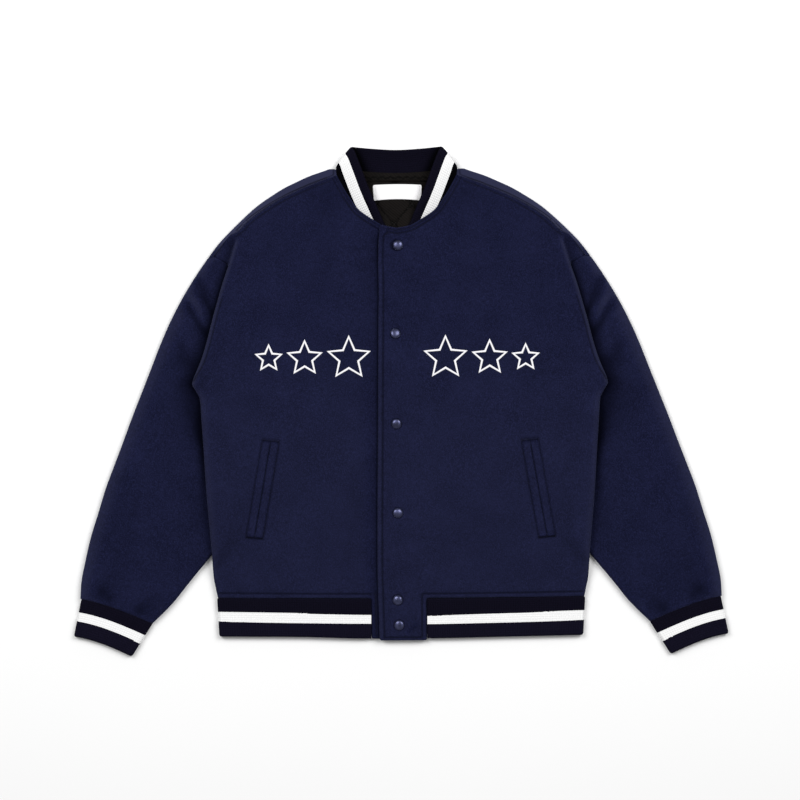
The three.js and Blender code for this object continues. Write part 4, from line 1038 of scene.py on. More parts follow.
def back_wall(thick):
    """Outer and inner face of the back, the cells that are cloth, and the values that its points carry."""
    centre = np.linspace(0, 1, 44)
    arc = np.linspace(0, 1, 9)[1:]
    strip = np.linspace(0, 1, 6)[1:]
    extra = len(arc) + len(strip)
    low_rows = np.concatenate([HEM_Y + EDGE_STEPS[:-1], np.linspace(HEM_Y + 9, WRAP_Y - 1, 96)])
    high_rows = np.concatenate([np.linspace(WRAP_Y, BACK_NECK_Y - 6, 44), BACK_NECK_Y - np.array([4, 2.4, 1.2, 0])])
    rows = [side_row(y, thick, centre, extra) for y in low_rows]
    rows += [shoulder_row(y, thick, centre, arc, strip) for y in high_rows]
    upper_x, upper_z, lower_x, lower_z, nap_and_painted_shade, away = (np.array(values) for values in zip(*rows))
    y = np.concatenate([low_rows, high_rows])[:, None]
    dip = BACK_NECK_DIP * smooth(290, BACK_NECK_Y, y) * (1 - np.clip(upper_x / BACK_NECK_HALF, 0, 1) ** 2)
    y = y - dip - hem_bend(upper_x, y)
    faces = []
    for x, z in ((upper_x, upper_z), (lower_x, lower_z)):
        half = np.stack([x, y, z], -1)
        faces.append(np.concatenate([(half * (-1, 1, 1))[:, :0:-1], half], 1))
    nap_and_painted_shade, away = (np.concatenate([half[:, :0:-1], half], 1) for half in (nap_and_painted_shade, away))
    none = np.full_like(away, FAR)
    values = {"shade": nap_and_painted_shade, "sewn_a": np.stack([away, none, none], -1), "sewn_b": np.stack([none] * 3, -1),
              "sewn": np.clip(1 - np.abs(away) / MARK_REACH, 0, 1)}
    keep = np.ones((nap_and_painted_shade.shape[0] - 1, nap_and_painted_shade.shape[1] - 1), bool)
    keep[: len(low_rows), :extra] = False
    keep[: len(low_rows), -extra:] = False
    return *faces, keep, values


class JACKET_OT_back(JacketPiece, bpy.types.Operator):
    """The wool back, flat where it rests, with its shoulders brought over to the front"""

    bl_idname = "jacket.back"
    bl_label = "Back"

    def execute(self, context):
        upper, lower, keep, values = back_wall(context.scene.jacket_sizes.wool / MM)
        panel = wall_object("back_panel", upper, lower, keep, values=outer_only(values))
        dress(panel, wool_finish(), "back")
        return {"FINISHED"}


def sleeve_height(inner_y, from_inner):
    """Height of the flattened sleeve, lower under the front's edge and beside the body."""
    at_armhole = mix(SLEEVE_LOW, BODY_TOP - 2, smooth(190, 205, inner_y))
    near_body = mix(at_armhole, SLEEVE_HIGH, smooth(9, 44, from_inner))
    return mix(SLEEVE_HIGH, near_body, smooth(-90, -15, inner_y))


# How far the shade beside the body reaches over a sleeve, and how deep it is: y, value.
SHADE_REACH = Curve((-320, 10), (-217, 14), (-180, 20), (-140, 13), (-100, 7), (-72, 8), (-45, 16), (-20, 21),
                    (10, 23), (25, 18), (45, 14), (75, 12), (100, 10), (130, 7.5), (170, 7), (215, 6))
SHADE_DEPTH = Curve((-320, 0.0), (-230, 0.15), (-180, 0.3), (-140, 0.4), (-100, 0.8), (-60, 1.0), (0, 0.88),
                    (60, 0.9), (130, 0.9), (170, 0.9), (215, 0.9))

# Patches of painted shade, and a few of painted highlight, most of them near the cuff: out, y, reach, depth (negative
# is lighter).
SLEEVE_PATCHES = [
    (433, -275, 9, 0.55),
    (422, -283, 7, 0.4),
    (380, -302, 9, 0.5),
    (366, -296, 12, 0.25),
    (404, -250, 30, 0.08),
    (428, -258, 16, 0.10),
    (443, -288, 6, -0.12),
    (350, -298, 9, -0.12),
    (268, 193, 12, 0.2),
]


def sleeve_shade(x, y, from_outer):
    """Painted shade beside the body, deepest at the underarm, in the creases near the armhole and in patches, painted
    light on those creases' ridges, and a painted highlight along the outer edge.
    """
    body = np.where(y > UNDERARM_Y, FRONT_FOLD(np.maximum(y, UNDERARM_Y)), SIDE(y))
    away = np.maximum(x - body, 0)
    reach = SHADE_REACH(y)
    soft = SHADE_DEPTH(y) * (0.74 * bell(away, reach) + 0.26 * bell(away, 2 * reach))
    dents = np.clip(-folds(SLEEVE_FOLDS[:5], x, y) / 4.0, -0.2, 0.5)
    patches = sum(depth * bell(np.hypot(x - px, y - py), radius) for px, py, radius, depth in SLEEVE_PATCHES)
    return soft + dents + patches - 0.34 * bell(from_outer, 14) + 0.02


def sleeve_walls(side, wall):
    """Outer and inner face of a sleeve, in rows from the shoulder to the cuff seam, each all round."""
    top_y, end_y = SLEEVE_TOP["inner_y"], SLEEVE_END["inner_y"]
    open_rows = 58  # down to the underarm the sleeve is open along the armhole
    rows = np.concatenate([np.linspace(top_y, 27.4, open_rows), np.linspace(27, end_y + 6, 112),
                           end_y + np.array([4, 2.4, 1.2, 0.4, 0])])
    edge = np.array([0, 0.4, 1.0, 1.9, 3.0, 4.4, 6.2])
    middle = np.linspace(0, 1, 40)[1:-1]
    per_layer = 2 * len(edge) + len(middle)

    def around(length):
        """Places round a row: over it to its outer edge and back under it, finer at both edges."""
        reach = min(1.0, length / 26)
        first = edge * reach
        last = length - edge[::-1] * reach
        one = np.concatenate([first, mix(first[-1], last[0], middle), last])
        return np.concatenate([one[::-1], one])

    up = np.repeat([1.0, -1.0], per_layer)
    faces, painted_sleeve_shades = [], []
    for inset in (0.0, wall):
        grid = []
        for i, inner_y in enumerate(rows):
            down = (top_y - inner_y) / (top_y - end_y)
            outer_y = mix(SLEEVE_TOP["outer_y"], SLEEVE_END["outer_y"], down)
            outer_x = float(OUTLINE(outer_y)) - 1.5 * float(smooth(207, 212, outer_y))
            closed = i >= open_rows
            inner_x = float(SLEEVE_INNER(inner_y)) if closed else float(ARMHOLE(inner_y)) + SEAM_GAP
            length = math.hypot(outer_x - inner_x, outer_y - inner_y)
            along = around(length)
            inner_inset = inset if closed else 0.0
            place = mix(min(inset, 0.3 * length), length - inner_inset, along / length)
            height = sleeve_height(inner_y, length - place)
            from_edge = np.minimum(along, length - along) if closed else along
            share = place / length
            x, y = mix(outer_x, inner_x, share), mix(outer_y, inner_y, share)
            y = y + CUFF_BOW * smooth(0.86, 1, down) * np.sin(math.pi * share ** 0.8)
            least = 0.2 if inset else 0.5
            room = np.maximum(height / 2 - inset, 0.4)
            z = height / 2 + up * mix(least, room, quarter(from_edge / 5.4))
            body_edge = x - SIDE(np.minimum(y, 20))
            tucked = smooth(-215, -150, y) * (1 - smooth(20, 60, y))
            z = z - 3.0 * np.where(up > 0, 1, 0) * tucked * (1 - smooth(2, 34, body_edge)) * quarter(from_edge / 5.4)
            if not inset:
                # Painted shade and painted highlight, on the outer face only.
                painted_sleeve_shades.append(np.where(up > 0, sleeve_shade(x, y, along), 0))
            soft = folds(SLEEVE_FOLDS, x, y, 0.0 if side > 0 else 1.0) + 0.8 * unevenness(side * x, y)
            near_cuff = 1 - smooth(end_y, end_y + 60, inner_y)
            pucker = near_cuff * (0.8 * np.sin(place / 4.6 + 1.2 * np.sin(place / 23)) + 0.3 * np.sin(place / 2.4))
            stitch = groove(inner_y - end_y - CUFF_STITCH, 1.4, 0.7)
            under_front = smooth(0, 10, length - along) if not closed else 1.0
            add = np.where(up > 0, smooth(1.5, 12, from_edge) * (soft * under_front + pucker + stitch), 0)
            if inset:
                z = z + np.minimum(add, 0)
            else:
                z = z + add - up * 1.5 * (1 - quarter((inner_y - end_y) / 3.4))
            grid.append(np.stack([side * x, y, z], 1))
        faces.append(np.array(grid))
    keep = np.ones((len(rows) - 1, 2 * per_layer), bool)
    keep[:open_rows, -1] = False
    return faces[0], faces[1], keep, np.array(painted_sleeve_shades)


class JACKET_OT_sleeves(JacketPiece, bpy.types.Operator):
    """Both wool sleeves, flattened, with their armhole ends under the fronts"""

    bl_idname = "jacket.sleeves"
    bl_label = "Sleeves"

    def execute(self, context):
        wall = context.scene.jacket_sizes.sleeve / MM
        for side, name in ((-1, "sleeve_right"), (1, "sleeve_left")):
            upper, lower, keep, nap_and_painted_shade = sleeve_walls(side, wall)
            values = outer_only({"shade": nap_and_painted_shade})
            tube = wall_object(f"{name}_tube", upper, lower, keep, wrap=True, values=values, neck=False)
            dress(tube, wool_finish(), name)
        return {"FINISHED"}


# Pieces of rib knit.

def spline(points, per_span=24, closed=False):
    """A smooth line through points, close enough together to walk along."""
    p = np.asarray(points, float)
    if closed:
        p = np.vstack([p[-1:], p, p[:2]])
    else:
        p = np.vstack([2 * p[0] - p[1], p, 2 * p[-1] - p[-2]])
    t = np.linspace(0, 1, per_span, endpoint=False)[:, None]
    spans = []
    for a, b, c, d in zip(p[:-3], p[1:-2], p[2:-1], p[3:]):
        k1, k2, k3 = (max(1e-6, np.linalg.norm(v) ** 0.5) for v in (b - a, c - b, d - c))
        m1 = (c - b) + k2 * ((b - a) / k1 - (c - a) / (k1 + k2))
        m2 = (c - b) + k2 * ((d - c) / k3 - (d - b) / (k2 + k3))
        spans.append((2 * t**3 - 3 * t**2 + 1) * b + (t**3 - 2 * t**2 + t) * m1
                     + (3 * t**2 - 2 * t**3) * c + (t**3 - t**2) * m2)
    return np.vstack([*spans, p[-2:-1]])


def paired(seam, open_edge, pitch, points_per_rib, closed=False):
    """Evenly spaced stations along a band's two edges, whole ribs in all."""
    seam, open_edge = spline(seam, closed=closed), spline(open_edge, closed=closed)
    middle = (seam + open_edge) / 2
    travelled = np.concatenate([[0], np.cumsum(np.linalg.norm(np.diff(middle, axis=0), axis=1))])
    ribs = int(round(travelled[-1] / pitch))
    count = ribs * points_per_rib
    at = np.linspace(0, travelled[-1], count + 1)
    if closed:
        at = at[:-1]
    pick = lambda line: np.stack([np.interp(at, travelled, line[:, k]) for k in range(3)], 1)
    phase = 2 * math.pi * np.arange(len(at)) / points_per_rib
    return pick(seam), pick(open_edge), at, phase


def band_walls(seam, open_edge, shares, bulge, phase, wall, relief, closed, flip=1.0):
    """Outer and inner face of a ribbed band between its seam and its open edge."""
    seam, open_edge = np.asarray(seam), np.asarray(open_edge)
    centre = seam[None] + (open_edge - seam)[None] * shares[:, None, None]
    if closed:
        run = np.roll(centre, -1, 1) - np.roll(centre, 1, 1)
    else:
        run = np.gradient(centre, axis=1)
    across = (open_edge - seam)[None] + 0 * centre
    normal = np.cross(run, across)
    normal /= np.linalg.norm(normal, axis=2)[..., None]
    normal *= flip
    height = np.linalg.norm(across, axis=2)
    belly = (bulge * np.sin(math.pi * shares))[:, None] * np.ones_like(height)
    centre = centre + normal * belly[..., None]
    edge = np.minimum(shares, 1 - shares)[:, None] * height
    roll = 1 - quarter(edge / (0.5 * wall))
    rib = relief * (np.abs(np.cos(phase / 2)) ** 0.7)[None] * smooth(0.2, 2.5, edge)
    upper = centre + normal * (wall / 2 - relief + rib - 0.46 * wall * roll)[..., None]
    lower = centre - normal * (wall / 2 - relief + rib - 0.40 * wall * roll)[..., None]
    return upper, lower, height


def band_rows(count, edge=(0.0, 0.012, 0.03, 0.06)):
    """Shares of a band's height from its seam to its open edge, finer at both."""
    edge = np.array(edge)
    return np.concatenate([edge, np.linspace(edge[-1], 1 - edge[-1], count)[1:-1], 1 - edge[::-1]])


# The collar's seam and its open edge, from the back's middle to the placket: x, y, z.
COLLAR_SEAM = [(0, 329.2, 5.0), (-45, 331.6, 5.0), (-81.5, 335.6, 5.2), (-87.4, 337.4, 8.6), (-87.2, 334.2, 10.6),
               (-86.4, 326.6, 9.4), (-82.0, 315.6, 7.6), (-74.0, 301, 6.6), (-65.0, 287.4, 6.2), (-53.0, 274.2, 6),
               (-37.4, 263.2, 5.8), (-22.0, 254.6, 5.6), (-12.0, 250.4, 5.4)]
COLLAR_TOP = [(0, 362.5, 17), (-35, 364.3, 17.5), (-59, 366.4, 18.5), (-64.2, 366.2, 22.8), (-60.6, 359.8, 27),
              (-55.2, 347, 27.8), (-49.2, 331, 27.4), (-43.4, 315, 26), (-36.9, 299, 24), (-29.9, 283.4, 20.6),
              (-23.4, 268.4, 15.6), (-18.2, 256.6, 10.4), (-11.0, 249.4, 6.6)]
COLLAR_STRIPE = (12.5, 30.5)  # from the open edge


def both_sides(line):
    """A line from the centre to one end, made into the whole line from end to end."""
    line = np.asarray(line, float)
    other = line[1:] * (-1, 1, 1)
    return np.vstack([other[::-1], line])


class JACKET_OT_collar(JacketPiece, bpy.types.Operator):
    """The striped rib collar, standing up round the neck and folded at both shoulders"""

    bl_idname = "jacket.collar"
    bl_label = "Collar"

    def execute(self, context):
        sizes = context.scene.jacket_sizes
        seam, top, along, phase = paired(both_sides(COLLAR_SEAM), both_sides(COLLAR_TOP), sizes.rib_pitch / MM, 5)
        shares = band_rows(22)
        upper, lower, height = band_walls(seam, top, shares, 1.2, phase, RIB_WALL, sizes.rib_relief / MM, False)
        from_open = height * (1 - shares[:, None])
        band = np.interp(from_open, [0, *COLLAR_STRIPE, 45], [0, 1, 2, 3])
        knit = np.stack([along[None] + 0 * from_open, from_open, 0 * from_open], -1) * MM
        edge_x, edge_y, _ = np.transpose(COLLAR_TOP[3:7])
        gap = np.interp(upper[..., 1], edge_y[::-1], -edge_x[::-1]) - np.abs(upper[..., 0])
        shadow = np.where(upper[..., 2] < 20, bell(np.maximum(gap, 0), 10), 0)
        values = {"band": (band, 0 * band), "knit": knit, "shade": shadow}
        rib = wall_object("collar_rib", upper, lower, values=values)
        dress(rib, rib_finish(), "collar")
        return {"FINISHED"}


class JACKET_OT_cuffs(JacketPiece, bpy.types.Operator):
    """Both striped rib cuffs, flattened"""

    bl_idname = "jacket.cuffs"
    bl_label = "Cuffs"

    # Ends of the cuff's seam and of its open edge, height of the flattened cuff, and the stripe's share of it.
    seam_line = {"outer": (463.6, -284.2), "inner": (359.8, -320.4)}
    open_line = {"outer": (475.0, -339.5), "inner": (390.4, -368.8)}
    height = 9.2
    stripe = (0.375, 0.60)

    def ring(self, line, side):
        """A flattened ring between a line's ends."""
        (ox, oy), (ix, iy) = line["outer"], line["inner"]
        length = math.hypot(ox - ix, oy - iy)
        radius = (self.height - RIB_WALL) / 2
        end = (radius + RIB_WALL / 2) / length
        square = np.array([iy - oy, ox - ix]) / length  # towards the elbow
        shares = np.linspace(end, 1 - end, 14)
        turn = np.radians([60, 30, 0, -30, -60])
        points = []
        for share in shares:
            points.append((share, radius))
        points += [(1 - end + radius * math.cos(a) / length, radius * math.sin(a)) for a in turn]
        for share in shares[::-1]:
            points.append((share, -radius))
        points += [(end - radius * math.cos(a) / length, -radius * math.sin(a)) for a in turn]
        ring = []
        for share, z in points:
            bowed = CUFF_BOW * math.sin(math.pi * min(1, max(0, share)) ** 0.8)
            x = mix(ox, ix, share) + square[0] * bowed
            y = mix(oy, iy, share) + square[1] * bowed
            ring.append((side * x, y, self.height / 2 + RIB_REST + z))
        return ring if side > 0 else ring[::-1]

    def execute(self, context):
        sizes = context.scene.jacket_sizes
        for side, name in ((-1, "cuff_right"), (1, "cuff_left")):
            seam, open_edge, along, phase = paired(self.ring(self.seam_line, side), self.ring(self.open_line, side),
                                                   sizes.rib_pitch / MM, 5, closed=True)
            shares = band_rows(26)
            upper, lower, height = band_walls(seam, open_edge, shares, 0.0, phase, RIB_WALL,
                                              sizes.rib_relief / MM, True)
            share = shares[:, None] + 0 * height
            band = np.interp(share, [0, *self.stripe, 1], [0, 1, 2, 3])
            knit = np.stack([along[None] + 0 * share, share * height, 0 * share], -1) * MM
            values = {"band": band, "knit": knit}
            cuff = wall_object(f"{name}_rib", upper, lower, wrap=True, values=values, neck=False)
            dress(cuff, rib_finish(), name)
        return {"FINISHED"}


def hem_line(low):
    """Guide line of the hem rib's seam, or of its lower edge, from tab to tab round the back."""
    front_z, back_z = FRONT_BOTTOM + RIB_WALL / 2, RIB_WALL / 2 + RIB_REST
    radius, middle = (front_z - back_z) / 2, (front_z + back_z) / 2
    reach = HEM_HALF - (3.4 if low else 0.4) - radius
    over, under = OVER_TAB_EDGE + SEAM_GAP, UNDER_TAB_EDGE - SEAM_GAP
    front_y = Curve(*np.array(HEM_BANDS)[:, [0, 4 if low else 1]])
    back_y = lambda x: HEM_BACK["low"] if low else HEM_Y - 0.6 - hem_bend(abs(x), HEM_Y)

    def turned(side, degrees):
        """Points round the side of the jacket, between the front and the back."""
        for angle in np.radians(degrees):
            x = side * (reach + radius * math.cos(angle))
            share = (1 - math.sin(angle)) / 2
            yield x, mix(float(front_y(x)), back_y(x), share), middle + radius * math.sin(angle)

    points = [(x, float(front_y(x)), front_z) for x in np.linspace(over, reach, 22)]
    points += turned(1, (60, 30, 0, -30, -60))
    points += [(x, back_y(x), back_z) for x in np.linspace(reach, -reach, 40)]
    points += turned(-1, (-60, -30, 0, 30, 60))
    for x in np.linspace(-reach, under, 22):
        points.append((x, float(front_y(x)), front_z - 0.8 * smooth(-70, -42, x)))
    return points


class JACKET_OT_hem_rib(JacketPiece, bpy.types.Operator):
    """The striped hem rib, one band from tab to tab round the back"""

    bl_idname = "jacket.hem_rib"
    bl_label = "Hem rib"

    def execute(self, context):
        sizes = context.scene.jacket_sizes
        seam, open_edge, along, phase = paired(hem_line(False), hem_line(True), sizes.rib_pitch / MM, 4)
        shares = band_rows(14, (0.0, 0.008, 0.02, 0.05))
        upper, lower, height = band_walls(seam, open_edge, shares, 0.0, phase, RIB_WALL, sizes.rib_relief / MM, False)
        x, y, z = np.moveaxis(upper, -1, 0)
        front = z > (FRONT_BOTTOM + RIB_WALL) / 2
        table = np.array(HEM_BANDS)
        stripe_top = np.where(front, Curve(*table[:, [0, 2]])(x), HEM_BACK["stripe_top"])
        stripe_low = np.where(front, Curve(*table[:, [0, 3]])(x), HEM_BACK["stripe_low"])
        band = np.clip(1 + (stripe_top - y) / (stripe_top - stripe_low), 0, 3)
        knit = np.stack([along[None] + 0 * height, shares[:, None] * height, 0 * height], -1) * MM
        rib = wall_object("hem_rib_band", upper, lower, values={"band": band, "knit": knit})
        dress(rib, rib_finish(), "hem_rib")
        return {"FINISHED"}


# Pockets, snaps, neck.

def welt_wall(side, start, end):
    """One welt: a soft padded strip on the front's own surface."""
    (tx, ty), (bx, by) = POCKET["top"], POCKET["bottom"]
    rows = np.concatenate([[0, 0.003, 0.009, 0.018], np.linspace(0.03, 0.97, 64), [0.982, 0.991, 0.997, 1]])
    width = abs(end - start)
    shares = np.concatenate([np.array([0, 0.4, 1.0, 1.9]) / width, np.linspace(0.24, 0.76, 7),
                             1 - np.array([1.9, 1.0, 0.4, 0]) / width])
    down, across = np.meshgrid(rows, mix(start, end, shares), indexing="ij")
    out = mix(tx, bx, down) + across
    y = mix(ty, by, down) + POCKET["lean"] * across
    length = math.hypot(bx - tx, by - ty)
    edge_across = np.minimum(np.abs(across - start), np.abs(across - end))
    edge_along = np.minimum(down, 1 - down) * length
    base = front_top(side, side * out, y) + 0.1
    puff = 1.5 * quarter(edge_across / 3.4) * quarter(edge_along / 2.5)
    puff += 0.18 * np.sin(down * 40 + across / 3) * smooth(1, 4, edge_across)
    upper = np.stack([side * out, y, base + 0.5 + puff], -1)
    lower = np.stack([side * out, y, base - 0.5 + 0 * puff], -1)
    # Painted shade in the slit, at both ends and a little along the outer edge.
    from_slit = np.abs(across)
    nap_and_painted_shade = 0.9 * bell(from_slit, 0.9) * smooth(3, 9, edge_along) + 0.95 * bell(edge_along, 2.4)
    nap_and_painted_shade += 0.25 * bell(POCKET["half"] - from_slit, 1.2) - 0.06
    return upper, lower, nap_and_painted_shade


class JACKET_OT_pockets(JacketPiece, bpy.types.Operator):
    """The two slanted pockets, each with two welts beside its slit"""

    bl_idname = "jacket.pockets"
    bl_label = "Pockets"

    def execute(self, context):
        half, slit = POCKET["half"], POCKET["slit"] / 2
        for side, label in ((-1, "right"), (1, "left")):
            for part, start, end in (("front", -half, -slit), ("side", slit, half)):
                node = f"pocket_{label}_welt_{part}"
                upper, lower, nap_and_painted_shade = welt_wall(side, start, end)
                welt = wall_object(f"{node}_strip", upper, lower, values={"shade": nap_and_painted_shade}, neck=False)
                dress(welt, wool_finish(), node)
        return {"FINISHED"}


def lathe(name, profile, centre, lean, segments=56):
    """A closed body turned from a profile of (radius, height) that starts and ends on the axis.

    It leans by a slope along x and y."""
    profile = np.asarray(profile, float)
    angle = np.linspace(0, 2 * math.pi, segments, endpoint=False)
    inner = profile[1:-1]
    rings = np.stack([inner[:, :1] * np.cos(angle), inner[:, :1] * np.sin(angle), inner[:, 1:] + 0 * angle], -1)
    points = np.vstack([rings.reshape(-1, 3), [(0, 0, profile[0, 1]), (0, 0, profile[-1, 1])]])
    points[:, 2] += points[:, :2] @ lean
    points += centre
    i, j = np.meshgrid(np.arange(len(inner) - 1), np.arange(segments), indexing="ij")
    after = (j + 1) % segments
    below, above = i * segments, (i + 1) * segments
    faces = np.stack([below + j, below + after, above + after, above + j], -1).reshape(-1, 4).tolist()
    low, high = len(points) - 2, len(points) - 1
    last = (len(inner) - 1) * segments
    for k in range(segments):
        n = (k + 1) % segments
        faces.append((low, n, k))
        faces.append((high, last + k, last + n))
    mesh = bpy.data.meshes.new(name)
    mesh.from_pydata((points * MM).tolist(), [], faces)
    return linked(name, mesh, 40)


class JACKET_OT_snaps(JacketPiece, bpy.types.Operator):
    """Six enamelled snap caps down the placket, each domed over a rolled rim"""

    bl_idname = "jacket.snaps"
    bl_label = "Snaps"

    def execute(self, context):
        radius = context.scene.jacket_sizes.snap / MM / 2
        enamel = enamel_finish()
        rise, base = 2.5, 0.75
        dome = [(radius * 0.93 * math.sin(a), base + rise * math.cos(a) ** 0.9)
                for a in np.radians(range(85, 0, -7))]
        rim = [(radius * 0.9, -0.4), (radius * 0.985, -0.25), (radius, 0.15), (radius * 0.985, 0.5),
               (radius * 0.955, 0.68), (radius * 0.935, 0.66)]
        profile = [(0, -0.4), *rim, *dome, (0, base + rise)]
        for number, ((x, y), lean) in enumerate(zip(SNAPS, SNAP_LEAN), 1):
            around = [front_top(1, x + dx, max(y + dy, HEM_Y)) for dx in (-6, 0, 6) for dy in (-6, 0, 6)]
            seat = float(np.max(around)) - 0.35
            place = np.array([x, y, seat])
            cap = lathe(f"snap_cap_{number}", profile, place, np.array(lean))
            dress(cap, enamel, f"snap_{number}")
        return {"FINISHED"}


# Quilting: a diamond's half diagonals are "across" and "down", and two of its lines meet at "cross".
LINING = {"half": 84.0, "bottom": 236.0, "wall": 2.0, "puff": 2.4, "across": 26.0, "down": 30.0,
          "cross": (-4.0, 256.0), "facing": 317.5}
LABEL = {"x": 0.9, "half": 35.6, "bottom": 290.0, "top": 313.0, "thick": 0.8}
LINING_BASE = BODY_WALL + SEAM_GAP
LABEL_REST = LINING_BASE + LINING["wall"] + LINING["puff"] * 0.82


def quilt_lines(x, y):
    """0 on the lining's slanting sewn lines, 1 midway between them."""
    a = (x - LINING["cross"][0]) / LINING["across"]
    b = (y - LINING["cross"][1]) / LINING["down"]
    return np.abs(np.sin(math.pi * (a + b) / 2) * np.sin(math.pi * (a - b) / 2))


def lining_height(x, y):
    """Quilted surface: puffs between two sets of slanting sewn lines, and a rolled facing at the neck."""
    facing = smooth(317, 319, y)
    crumple = 0.25 * np.sin(x / 4.1 + np.sin(y / 3.3)) * np.sin(y / 5.2)
    rolled = 1.5 + 0.9 * np.sin(math.pi * np.clip((y - 318) / 8, 0, 1)) + 0.2 * np.sin(x / 5)
    seam = groove(y - LINING["facing"], 1.0, 0.8)
    puffs = LINING["puff"] * quilt_lines(x, y) ** 0.42
    return LINING_BASE + LINING["wall"] - 0.6 + mix(puffs + crumple, rolled, facing) + seam


def lining_marks(x, y):
    """1 in the sewn lines of the quilting and in the overlocked edge under the collar, 0 elsewhere."""
    overlock = 323.4 + 1.1 * np.sin(x / 1.9) + 0.7 * np.sin(x / 0.83)
    edge = 1.3 * bell(y - overlock, 2.0) + bell(y - LINING["facing"] - 0.1, 1.3)
    edge += 0.7 * bell(y - 330.5 - 0.6 * np.sin(x / 2.3), 1.2)
    wobble = 0.05 * np.sin(x / 1.3 + 2 * np.sin(y / 2.1)) * np.sin(y / 1.7)
    lines = bell(quilt_lines(x, y) + wobble, 0.13) * (y < 317)
    return np.clip(edge + lines, 0, 1)


class JACKET_OT_neck_lining(JacketPiece, bpy.types.Operator):
    """The quilted lining inside the neck and the blank woven label on it"""

    bl_idname = "jacket.neck_lining"
    bl_label = "Neck lining and label"

    def lining(self):
        """The part of the lining that shows inside the neck."""
        columns = np.linspace(-LINING["half"], LINING["half"], 230)
        rows = np.linspace(0, 1, 136)
        share, x = np.meshgrid(rows, columns, indexing="ij")
        top = BACK_NECK_Y - BACK_NECK_DIP * (1 - (x / BACK_NECK_HALF) ** 2) + 3.4
        y = mix(LINING["bottom"], top, share)
        upper = np.stack([x, y, lining_height(x, y)], -1)
        lower = np.stack([x, y, LINING_BASE + 0 * x], -1)
        return wall_object("neck_lining_quilt", upper, lower, values={"quilted": lining_marks(x, y)})

    def label(self):
        """The blank label, its corners rounded and its ends stitched down."""
        columns = np.concatenate([[0, 0.006, 0.02, 0.045], np.linspace(0.07, 0.93, 40), [0.955, 0.98, 0.994, 1]])
        rows = np.concatenate([[0, 0.02, 0.06, 0.12], np.linspace(0.18, 0.82, 14), [0.88, 0.94, 0.98, 1]])
        down, share = np.meshgrid(rows, columns, indexing="ij")
        tall, wide = 23, 71
        narrow = mix(0.965, 1.0, down)
        rounded = 2.4 * (1 - quarter((1 - down) * tall / 2.4)) + 1.2 * (1 - quarter(down * tall / 1.2))
        x = LABEL["x"] + (2 * share - 1) * (LABEL["half"] * narrow - rounded)
        middle = 1 - (2 * share - 1) ** 2
        y = mix(LABEL["bottom"] + 2.2 * middle, LABEL["top"] + 0.8 * middle, down)
        lumps = 0.35 * np.sin(x / 9 + 1) * np.sin(y / 7) + 0.5 * middle
        from_end = np.minimum(share, 1 - share) * wide
        turn = 1 - quarter(np.minimum(np.minimum(down, 1 - down) * tall, from_end) / 0.8)
        top = LABEL_REST + lumps + groove(from_end - 3.2, 0.9, 0.5) + LABEL["thick"] - 0.35 * turn
        upper = np.stack([x, y, top], -1)
        lower = np.stack([x, y, top - LABEL["thick"] + 0.3 * turn - 0.05], -1)
        return wall_object("neck_label_tag", upper, lower)

    def execute(self, context):
        label = self.label()
        dress(label, label_finish(), "neck_label")
        lining = self.lining()
        dress(lining, lining_finish(), "neck_lining")
        return {"FINISHED"}


# Sewing and embroidery.

def stitches(line, height, pitch, radius):
    """Points and quads of a row of stitches along a line of (x, y). height gives the cloth's surface there."""
    places = evenly(line, pitch)
    run = np.gradient(places, axis=0)
    run /= np.linalg.norm(run, axis=1)[:, None] + 1e-9
    centre = (places[:-1] + places[1:]) / 2
    run = (run[:-1] + run[1:]) / 2
    square = np.stack([-run[:, 1], run[:, 0]], 1)
    along = np.array([-0.46, -0.38, -0.16, 0.16, 0.38, 0.46]) * pitch
    swell = np.array([0.35, 0.8, 1.0, 1.0, 0.8, 0.35])
    sink = np.array([-0.8, -0.15, 0.3, 0.3, -0.15, -0.8]) * radius
    angle = np.radians(np.arange(6) * 60 + 30)
    ring_x, ring_z = np.cos(angle), np.sin(angle)
    points = []
    for k in range(len(along)):
        at = centre + run * along[k]
        z = height(at[:, 0], at[:, 1]) + sink[k]
        for j in range(6):
            side = square * (radius * swell[k] * ring_x[j])
            points.append(np.column_stack([at + side, z + radius * swell[k] * ring_z[j]]))
    points = np.stack(points, 1)
    count = len(along) * 6
    i, j = np.meshgrid(np.arange(len(along) - 1), np.arange(6), indexing="ij")
    after = (j + 1) % 6
    quads = np.stack([i * 6 + j, i * 6 + after, (i + 1) * 6 + after, (i + 1) * 6 + j], -1).reshape(-1, 4)
    last = (len(along) - 1) * 6
    first_cap = np.array([[5, 4, 3, 2], [5, 2, 1, 0]])
    last_cap = np.array([[0, 1, 2, 3], [0, 3, 4, 5]]) + last
    quads = np.vstack([quads, first_cap, last_cap])
    offsets = (np.arange(len(points)) * count)[:, None, None]
    return points.reshape(-1, 3), (quads[None] + offsets).reshape(-1, 4)


def joined(parts):
    """Several sets of points and quads as one."""
    points, quads, start = [], [], 0
    for p, q in parts:
        points.append(p)
        quads.append(q + start)
        start += len(p)
    return np.vstack(points), np.vstack(quads)


def sewn(name, parts, material, neck=True):
    """One piece of all the stitches in a list. Where it lies on a body panel, it goes with the shifted neck."""
    points, quads = joined(parts)
    if neck:
        points[:, 0] = shifted(points[:, 0], points[:, 1])
    obj = mesh_object(name, points, quads, sharp=80)
    return dress(obj, material)


